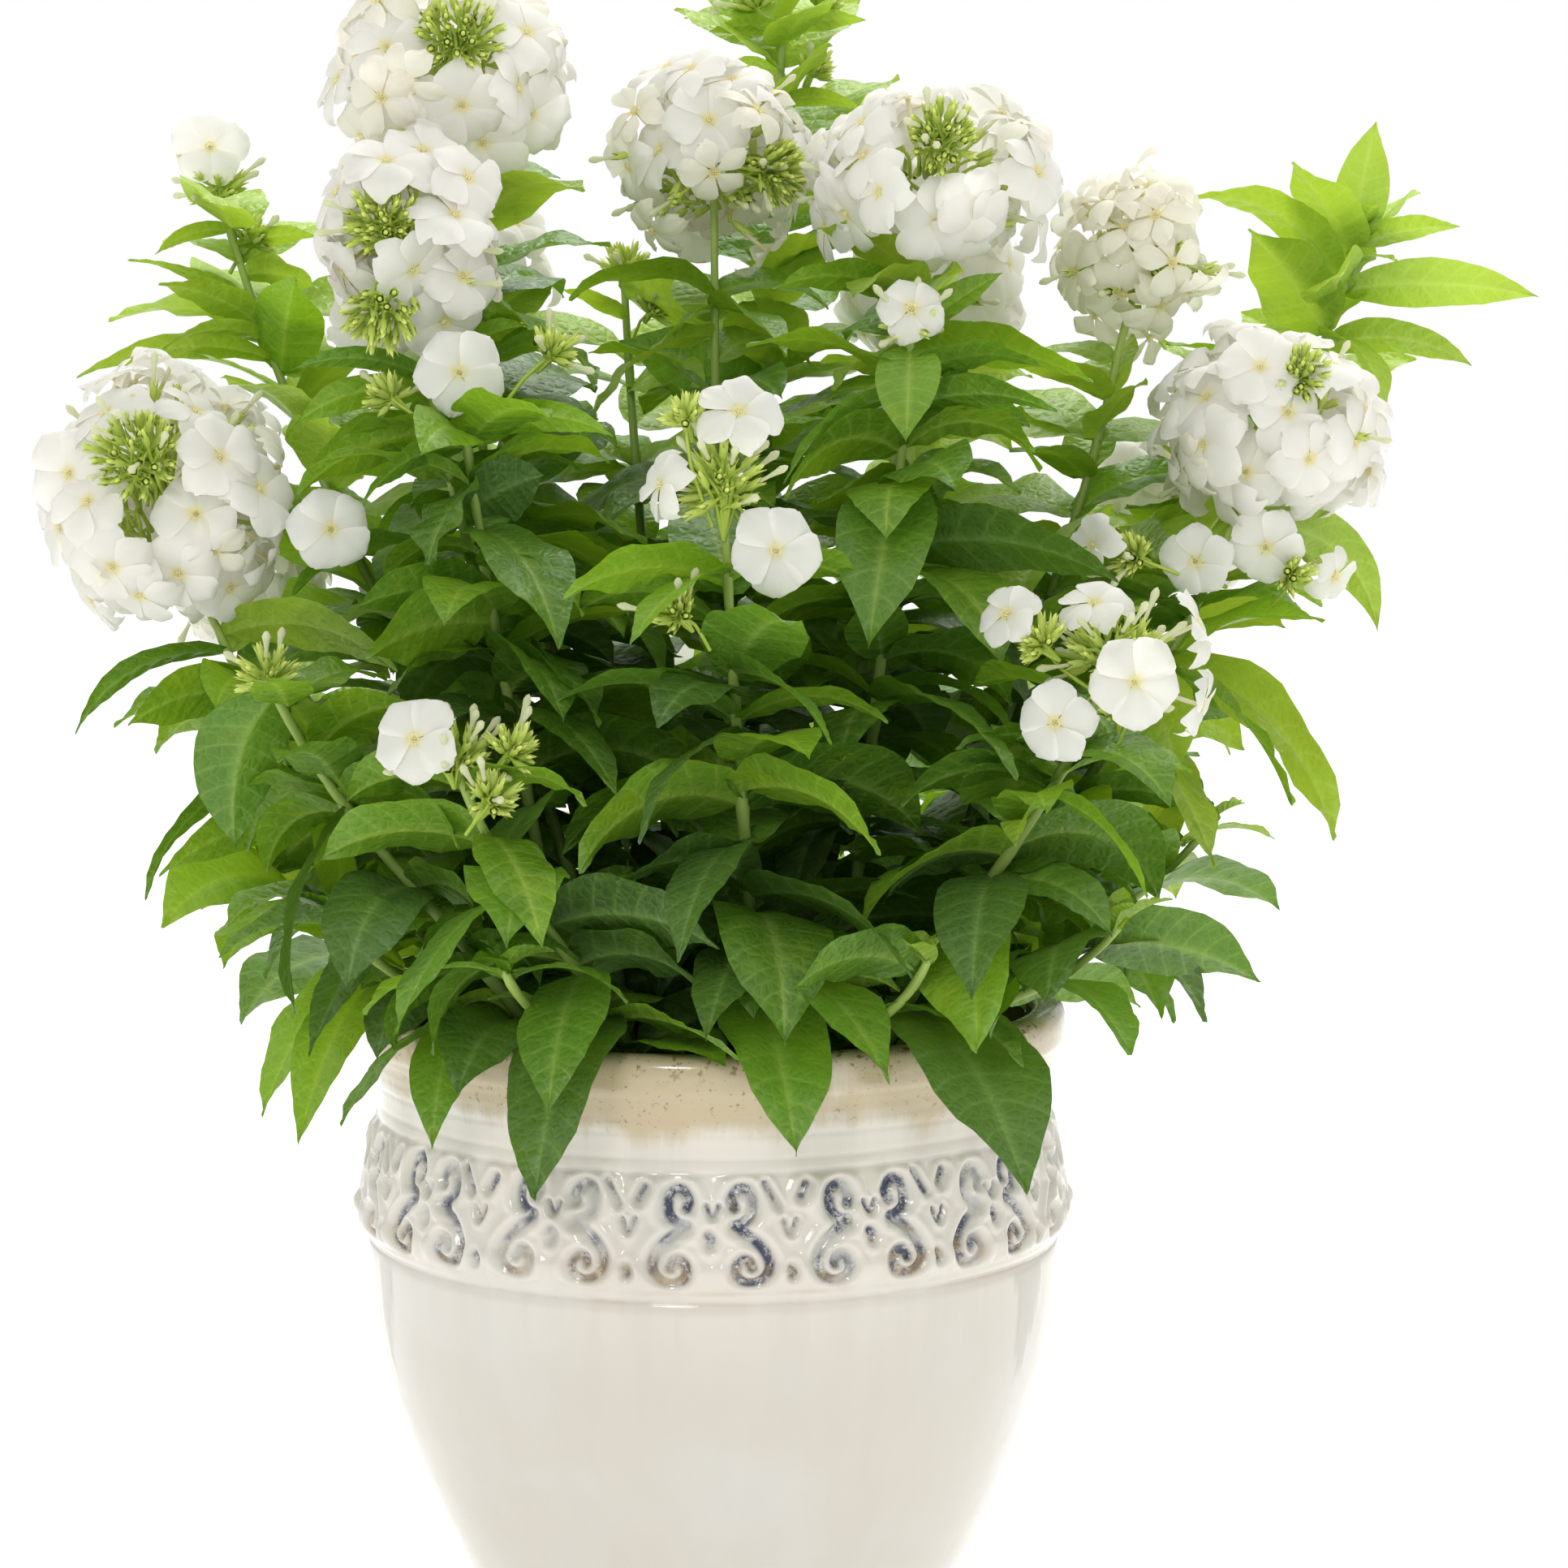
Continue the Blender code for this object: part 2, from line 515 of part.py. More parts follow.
def seeded_leaves(stem, path, space, dice):
    """Opposite pairs up the stem, each pair a quarter turn from the last."""
    place = (BARE_SHARE * path.length if stem.own_stem else SHOOT_BARE) + FIRST_PAIR
    leaves = []
    pair = 0
    while place < path.length - TOP_ROOM:
        node = path.at(place)
        grown = (node.z - COMPOST_TOP) / (path.points[-1].z - COMPOST_TOP)
        share = min(1.0, max(0.0, grown)) ** TAPER
        outward = Vector((node.x, node.y, 0.0)) / LEAN_REACH
        outward /= max(1.0, outward.length)
        turn = math.radians(stem.phase + 90 * pair) + dice.uniform(-PAIR_TURN, PAIR_TURN)
        for side in (0.0, math.pi):
            angle = turn + side + dice.uniform(-LEAF_TURN, LEAF_TURN)
            length = LENGTH.at(share, dice)
            rise = math.radians(RISE.at(share, dice))
            droop = math.radians(DROOP.at(share, dice)) * stem.droop
            out = Vector((math.cos(angle), math.sin(angle), 0.0))
            roll = dice.uniform(-LEAF_ROLL, LEAF_ROLL) - LEAN * out.cross(outward).z
            root = node - out * path.radius(place) * ROOT_SINK
            leaf = place_leaf(space, Leaf(root, out, length, rise, droop, roll), stem.name, dice)
            if leaf is not None:
                leaves.append(leaf)
        place += INTERNODE
        pair += 1
    return leaves


def mesh_from(name, vertices, faces):
    mesh = bpy.data.meshes.new(name)
    mesh.from_pydata(vertices, [], faces)
    shape = bmesh.new()
    shape.from_mesh(mesh)
    bmesh.ops.recalc_face_normals(shape, faces=shape.faces)
    shape.to_mesh(mesh)
    shape.free()
    return mesh


# ---------------------------------------------------------------- blooms and buds

def aim(direction):
    """The rotation that turns +Z to a direction."""
    return Vector(direction).to_track_quat("Z", "Y").to_matrix().to_4x4()


def bloom_mesh(centre, facing, depth):
    """A disc of five petals on a five-sided funnel, which sinks into what carries it."""
    shape = bmesh.new()
    radius = BLOOM_RADIUS
    made = bmesh.ops.create_cone(shape, cap_ends=True, cap_tris=False, segments=BLOOM_PETALS,
                                 radius1=0.0, radius2=radius * BLOOM_NOTCH, depth=depth)
    for vertex in made["verts"]:
        vertex.co.z -= depth / 2
    bmesh.ops.remove_doubles(shape, verts=shape.verts, dist=MERGE)
    rim = [edge for edge in shape.edges if all(v.co.z > -depth / 2 for v in edge.verts)]
    bmesh.ops.subdivide_edges(shape, edges=rim, cuts=1)
    for vertex in shape.verts:
        if vertex.co.z > -depth / 2 and vertex.co.xy.length < radius * BLOOM_NOTCH * 0.99:
            vertex.co.xy *= radius / vertex.co.xy.length
    bmesh.ops.triangulate(shape, faces=shape.faces)
    shape.transform(Matrix.Translation(centre) @ aim(facing))
    mesh = bpy.data.meshes.new("bloom")
    shape.to_mesh(mesh)
    shape.free()
    return mesh


def core_mesh(centre, radii):
    shape = bmesh.new()
    bmesh.ops.create_icosphere(shape, subdivisions=1, radius=1.0)
    shape.transform(Matrix.Translation(centre) @ Matrix.Diagonal((*radii, 1.0)))
    mesh = bpy.data.meshes.new("core")
    shape.to_mesh(mesh)
    shape.free()
    return mesh


def spread(count, start=0.0):
    """Directions spread evenly over a sphere, from the top down."""
    golden = math.pi * (3.0 - math.sqrt(5.0))
    for i in range(count):
        height = 1.0 - 2.0 * (i + 0.5) / count
        ring = math.sqrt(1.0 - height * height)
        angle = start + golden * i
        yield Vector((ring * math.cos(angle), ring * math.sin(angle), height))


def dome_parts(stem, path, space, collection, dice):
    """A rounded head: a core on a stalk, with blooms facing out of it all round."""
    half_width, half_height = (value * MM for value in stem.size)
    centre = Vector(stem.top) * MM
    core = tuple(r - CORE_INSET for r in (half_width, half_width, half_height))
    parts = [core_mesh(centre, core)]
    ahead = (path.points[-1] - path.points[-2]).normalized()
    foot = path.points[-1] + ahead * GAP
    stalk = (foot, foot + ahead * FOOT_RISE, centre)
    parts.append(tube_mesh(stalk, (STEM_TIP_RADIUS,) * 3, collection))
    area = 4 * math.pi * half_width * half_height
    count = round(area / (math.pi * BLOOM_RADIUS ** 2) * DOME_COVER)
    for direction in spread(count, dice.uniform(0, math.tau)):
        offset = direction * half_width
        offset.z = direction.z * half_height
        facing = (direction + UP * BLOOM_LIFT).normalized()
        inward = 1.0 - BLOOM_SET / offset.length
        bloom = bloom_mesh(centre + offset * inward, facing, BLOOM_DEPTH)
        if space.is_clear(*faces_of(bloom)):
            parts.append(bloom)
    return parts


def tuft_mesh(centre, half_width, half_height, dice):
    """Buds standing out all round: a ball of twelve corners, every other one drawn to a point."""
    shape = bmesh.new()
    bmesh.ops.create_icosphere(shape, subdivisions=1, radius=1.0)
    for i, vertex in enumerate(shape.verts):
        vertex.co *= BUD_WAIST if i % 2 else dice.uniform(*BUD_POINT)
    spin = Matrix.Rotation(dice.uniform(0, math.tau), 4, "Z")
    size = Matrix.Diagonal((half_width, half_width, half_height, 1.0))
    shape.transform(Matrix.Translation(centre) @ size @ spin)
    mesh = bpy.data.meshes.new("tuft")
    shape.to_mesh(mesh)
    shape.free()
    return mesh


def single_blooms(stem, collection):
    """Blooms set one by one round a head, each on its own stalk."""
    parts = []
    top = Vector(stem.top) * MM
    for x, y, z, *facing in stem.blooms:
        centre = top + Vector((x, y, z)) * MM
        facing = Vector(facing).normalized()
        parts.append(bloom_mesh(centre, facing, CUP_DEPTH))
        behind = centre - facing * STALK_START
        bend = (behind + top) / 2 - facing * STALK_BEND
        parts.append(tube_mesh((behind, bend, top), (STALK_RADIUS,) * 3, collection))
    return parts


# ---------------------------------------------------------------- joining

def volume_of(faces):
    return sum(f.verts[0].co.dot(f.verts[1].co.cross(f.verts[2].co)) / 6.0 for f in faces)


def tidy_solid(mesh):
    """Triangles only, and one body: loose scraps and sealed hollows are dropped."""
    shape = bmesh.new()
    shape.from_mesh(mesh)
    bmesh.ops.remove_doubles(shape, verts=shape.verts, dist=SEAM)
    bmesh.ops.triangulate(shape, faces=shape.faces)
    shape.faces.ensure_lookup_table()
    seen, bodies = set(), []
    for face in shape.faces:
        if face in seen:
            continue
        body, todo = [], [face]
        seen.add(face)
        while todo:
            here = todo.pop()
            body.append(here)
            for edge in here.edges:
                for other in edge.link_faces:
                    if other not in seen:
                        seen.add(other)
                        todo.append(other)
        bodies.append(body)
    bodies.sort(key=volume_of, reverse=True)
    scraps = [face for body in bodies[1:] for face in body]
    if scraps:
        bmesh.ops.delete(shape, geom=scraps, context="FACES")
    shape.to_mesh(mesh)
    shape.free()
    return mesh


def join(name, meshes, collection, material):
    """One solid from a mesh and all the others that are rooted in it."""
    base = add_object(name, meshes[0], collection, material)
    if len(meshes) > 1:
        operands = make_collection(name + "_parts")
        for i, mesh in enumerate(meshes[1:]):
            operand = add_object(f"{name}_part_{i}", mesh, operands)
            operand.hide_render = True
            operand.display_type = "WIRE"
        union = base.modifiers.new("Join", "BOOLEAN")
        union.operation = "UNION"
        union.operand_type = "COLLECTION"
        union.collection = operands
        union.solver = "MANIFOLD"
        graph = bpy.context.evaluated_depsgraph_get()
        joined = bpy.data.meshes.new_from_object(base.evaluated_get(graph))
        base.modifiers.clear()
        base.data = joined
        for operand in list(operands.objects):
            bpy.data.objects.remove(operand, do_unlink=True)
        bpy.data.collections.remove(operands)
    tidy_solid(base.data)
    base.data.materials.clear()
    base.data.materials.append(material)
    return base


# ---------------------------------------------------------------- the plant

def build_stem(stem, path, collection, material):
    """The leafless foot of a stem, cut flat just above the compost."""
    points, radii = path.stretch(0.0, BARE_SHARE * path.length - GAP)
    foot = tube("stem_" + stem.name, points, radii, collection, STEM_SIDES)
    foot.data.materials.append(material)
    return foot


def leafy_stem(stem, path, collection):
    """The part of the stem that carries leaves, as a mesh."""
    start = BARE_SHARE * path.length if stem.own_stem else 0.0
    return tube_mesh(*path.stretch(start, path.length), collection)


def head_parts(stem, path, space, collection, dice):
    """What a stem carries at its top, apart from leaves."""
    if stem.kind == "dome":
        dome = dome_parts(stem, path, space, collection, dice)
        return dome + single_blooms(stem, collection)
    if stem.kind == "leafy":
        return []
    half_width, half_height = (value * MM for value in stem.size)
    tuft = tuft_mesh(Vector(stem.top) * MM, half_width, half_height, dice)
    return [tuft] + single_blooms(stem, collection)


def grow_plant(collection, pot, compost, materials):
    """Stems first, then heads clear of the stems, then leaves clear of everything.

    The leaves that are set one by one come before all the seeded ones.
    """
    space = Space()
    graph = bpy.context.evaluated_depsgraph_get()
    for thing in (pot, compost):
        space.add(thing.name, *faces_of(thing.evaluated_get(graph).data))
    paths = {stem.name: StemPath(stem) for stem in STEMS}
    for name, path in paths.items():
        points, radii = path.stretch(0.0, path.length)
        room = [radius + GAP for radius in radii]
        space.add(name, *faces_of(tube_mesh(points, room, collection, STEM_SIDES)))
    heads = {}
    for number, stem in enumerate(STEMS):
        dice = random.Random(HEAD_SEED + number)
        heads[stem.name] = head_parts(stem, paths[stem.name], space, collection, dice)
        for mesh in heads[stem.name]:
            space.add(stem.name, *faces_of(mesh))
    placed = {}
    for number, stem in enumerate(STEMS):
        dice = random.Random(SET_SEED + number)
        placed[stem.name] = set_leaves(stem, paths[stem.name], space, dice)
    for number, stem in enumerate(STEMS):
        path = paths[stem.name]
        dice = random.Random(LEAF_SEED + number)
        leaves = placed[stem.name] + seeded_leaves(stem, path, space, dice)
        meshes = [leafy_stem(stem, path, collection)]
        meshes += [mesh_from("leaf", *leaf.shape()) for leaf in leaves]
        if stem.own_stem:
            build_stem(stem, path, collection, materials["stem"])
        if stem.kind == "dome":
            join("foliage_" + stem.name, meshes, collection, materials["leaf"])
            join("blooms_" + stem.name, heads[stem.name], collection, materials["petal"])
        else:
            name = "foliage_" if stem.own_stem else "shoot_"
            join(name + stem.name, meshes + heads[stem.name], collection, materials["leaf"])


def main():
    clear_scene()
    collection = make_collection("potted_garden_phlox")
    materials = {
        "glaze": make_material("glaze", (0.84, 0.80, 0.72), 0.12),
        "compost": make_material("compost", (0.045, 0.03, 0.02), 0.95),
        "stem": make_material("stem", (0.30, 0.42, 0.10), 0.5),
        "leaf": make_material("leaf", (0.05, 0.20, 0.03), 0.45),
        "petal": make_material("petal", (0.90, 0.90, 0.87), 0.6),
    }
    pot = build_pot(collection, materials["glaze"])
    compost = build_compost(collection, materials["compost"])
    grow_plant(collection, pot, compost, materials)


main()
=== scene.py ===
"""The looks of a white garden phlox in a glazed stoneware pot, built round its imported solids.

Metres, +Z up, the front towards -Y. Stems, leaves and heads grow by the rule of the part's
source, from the same seeds, and are carried on here to side leaves, petals and buds.
"""

import json
import logging
import math
import random
from dataclasses import dataclass, field, replace
from enum import Enum

import bmesh
import bpy
import numpy as np
from mathutils import Matrix, Vector, noise
from mathutils.bvhtree import BVHTree

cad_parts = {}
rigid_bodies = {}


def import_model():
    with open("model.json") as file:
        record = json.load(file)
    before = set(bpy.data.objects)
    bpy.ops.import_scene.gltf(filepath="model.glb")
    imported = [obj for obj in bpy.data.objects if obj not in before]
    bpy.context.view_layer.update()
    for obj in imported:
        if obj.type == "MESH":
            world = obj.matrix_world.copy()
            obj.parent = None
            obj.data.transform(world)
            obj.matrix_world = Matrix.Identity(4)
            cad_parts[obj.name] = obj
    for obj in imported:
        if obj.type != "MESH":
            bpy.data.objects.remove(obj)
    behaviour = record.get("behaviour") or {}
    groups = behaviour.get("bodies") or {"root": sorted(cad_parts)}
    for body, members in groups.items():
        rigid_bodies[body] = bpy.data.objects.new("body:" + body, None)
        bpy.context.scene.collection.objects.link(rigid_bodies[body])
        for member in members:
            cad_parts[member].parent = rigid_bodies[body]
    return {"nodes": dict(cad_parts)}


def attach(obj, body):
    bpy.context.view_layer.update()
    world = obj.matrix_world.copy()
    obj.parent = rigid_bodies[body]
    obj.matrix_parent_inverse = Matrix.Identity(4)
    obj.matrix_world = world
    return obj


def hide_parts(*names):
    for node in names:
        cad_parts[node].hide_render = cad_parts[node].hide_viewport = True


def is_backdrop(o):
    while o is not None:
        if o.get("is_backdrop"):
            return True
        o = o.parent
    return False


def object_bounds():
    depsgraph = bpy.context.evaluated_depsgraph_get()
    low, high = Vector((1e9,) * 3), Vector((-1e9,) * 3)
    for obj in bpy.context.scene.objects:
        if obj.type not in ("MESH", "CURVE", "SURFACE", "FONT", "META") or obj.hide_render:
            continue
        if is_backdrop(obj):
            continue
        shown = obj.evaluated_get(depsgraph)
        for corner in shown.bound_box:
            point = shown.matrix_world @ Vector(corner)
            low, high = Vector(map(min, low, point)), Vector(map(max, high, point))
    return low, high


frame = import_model()

log = logging.getLogger("phlox")

MM = 0.001
GAP = 0.3 * MM
UP = Vector((0.0, 0.0, 1.0))
BODY = "root"

Faces = list[tuple[int, ...]]
Solid = tuple[list[Vector], Faces]
Pair = tuple[float, float]
Triple = tuple[float, float, float]
Dice = random.Random
Socket = bpy.types.NodeSocket
Feed = bpy.types.NodeSocket | float | str | tuple[float, ...]


def mm(*values: float) -> Vector:
    """A place or an offset that is given in millimetres."""
    return Vector(values) * MM


def scattered(dice: Dice, size: float) -> Vector:
    """An offset of up to a size along each axis, either way."""
    return Vector([dice.uniform(-1, 1) for _ in range(3)]) * size


def stretched(direction: Vector, half_width: float, half_height: float) -> Vector:
    """A direction drawn out to the surface of a head."""
    return Vector((direction.x * half_width, direction.y * half_width, direction.z * half_height))


# ---- meshes


class Sheet:
    """Points, faces and per-point values of one piece, gathered before it becomes a mesh."""

    def __init__(self) -> None:
        """Starts empty."""
        self.points: list[np.ndarray] = []
        self.values: list[np.ndarray] = []
        self.faces: Faces = []
        self.count = 0

    def add(self, points: np.ndarray, faces: Faces, values: np.ndarray) -> None:
        """Adds one shape.

        Args:
            points: N by 3 places, in metres.
            faces: Corners of each face, counted from this shape's first point.
            values: N by 3 numbers for the finish to read.
        """
        self.points.append(points)
        self.values.append(values)
        start = self.count
        self.faces.extend([tuple(start + corner for corner in face) for face in faces])
        self.count += len(points)

    def build(self, name: str, material: bpy.types.Material, replaced: list[str],
              slot: str) -> bpy.types.Object:
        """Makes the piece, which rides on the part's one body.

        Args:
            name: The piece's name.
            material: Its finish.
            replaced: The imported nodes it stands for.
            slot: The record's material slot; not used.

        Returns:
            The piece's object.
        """
        mesh = bpy.data.meshes.new(name)
        mesh.from_pydata(np.concatenate(self.points).tolist(), [], self.faces)
        tint = mesh.color_attributes.new("tint", "FLOAT_COLOR", "POINT")
        rows = np.concatenate(self.values)
        tint.data.foreach_set("color", np.hstack([rows, np.ones((len(rows), 1))]).astype(np.float32).ravel())
        mesh.polygons.foreach_set("use_smooth", [True] * len(mesh.polygons))
        mesh.materials.append(material)
        mesh.update()
        piece = bpy.data.objects.new(name, mesh)
        bpy.context.scene.collection.objects.link(piece)
        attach(piece, BODY)
        if replaced:
            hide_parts(*replaced)
        triangles = sum(len(face) - 2 for face in self.faces)
        log.info("%s: %d triangles, stands for %d nodes", name, triangles, len(replaced))
        return piece


def grid_faces(rows: int, columns: int, closed: bool = False) -> Faces:
    """Four-cornered faces of a grid of points held row after row.

    Args:
        rows: Rows of points.
        columns: Points in a row.
        closed: Whether the last column joins the first.

    Returns:
        The faces.
    """
    faces = []
    for row in range(rows - 1):
        for column in range(columns if closed else columns - 1):
            after = (column + 1) % columns
            low, high = row * columns, (row + 1) * columns
            faces.append((low + column, low + after, high + after, high + column))
    return faces


def catmull(points: list[tuple[float, ...]], pieces: int) -> np.ndarray:
    """A smooth curve through points.

    Args:
        points: The points it passes.
        pieces: Stretches between two of them.

    Returns:
        The curve's points, one row each.
    """
    knots = np.array([points[0], *points, points[-1]], float)
    curve = []
    for i in range(1, len(knots) - 2):
        a, b, c, d = knots[i - 1:i + 3]
        for step in range(pieces):
            t = step / pieces
            curve.append(0.5 * (2 * b + (c - a) * t + (2 * a - 5 * b + 4 * c - d) * t * t
                                + (3 * b - a - 3 * c + d) * t ** 3))
    curve.append(knots[-2])
    return np.array(curve)


def frames_along(path: np.ndarray) -> tuple[np.ndarray, np.ndarray]:
    """Two directions square to a line at each of its points, with no sudden turn between them.

    Args:
        path: The line's points.

    Returns:
        The two directions, one row each for every point.
    """
    ahead = np.gradient(path, axis=0)
    ahead /= np.linalg.norm(ahead, axis=1)[:, None]
    side = np.cross(ahead[0], (0.0, 0.0, 1.0))
    if np.linalg.norm(side) < 1e-3:
        side = np.array((1.0, 0.0, 0.0))
    sides = []
    for direction in ahead:
        side = side - direction * side.dot(direction)
        side = side / np.linalg.norm(side)
        sides.append(side)
    sides = np.array(sides)
    return sides, np.cross(ahead, sides)


def tube_points(path: np.ndarray, radii: np.ndarray, sides: int) -> np.ndarray:
    """Rings of points round a line.

    Args:
        path: The line's points.
        radii: The radius at each.
        sides: Points in a ring.

    Returns:
        The rings' points, ring after ring.
    """
    one, two = frames_along(path)
    angles = np.arange(sides) * math.tau / sides
    ring = one[:, None] * np.cos(angles)[None, :, None] + two[:, None] * np.sin(angles)[None, :, None]
    return (path[:, None] + ring * radii[:, None, None]).reshape(-1, 3)


# ---- the rule of growth


class Kind(Enum):
    """What a stem carries at its top."""

    DOME = "dome"
    LOOSE = "loose"
    BUDS = "buds"
    LEAFY = "leafy"


@dataclass(frozen=True)
class Stem:
    """One stem, as in the part's source. Millimetres."""

    name: str
    foot: Pair
    top: Triple
    kind: Kind = Kind.LEAFY
    size: Pair = (0, 0)
    own_stem: bool = False
    blooms: tuple[tuple[float, ...], ...] = ()
    phase: float = 0.0
    droop: float = 1.0
    upturn: float = 0.45
    # leaves set one by one: place up the stem, tip x, y, z, half-width, bend and turned face
    leaves: tuple[tuple[float, ...], ...] = ()
    hearts: tuple[tuple[float, ...], ...] = ()     # buds that part a dome: offset x, y, z and reach
    tufts: tuple[tuple[float, ...], ...] = ()      # clusters on side twigs: offset x, y, z and reach
    sizes: tuple[float, ...] = ()                  # of the single blooms, of a full-grown one
    old: bool = False                              # blooms past their best, cream and starry
    faded: float = 0.05                            # share of a young dome's blooms that are past it too

    @property
    def leaf_node(self) -> str:
        """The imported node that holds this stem's leaves."""
        return ("foliage_" if self.own_stem else "shoot_") + self.name


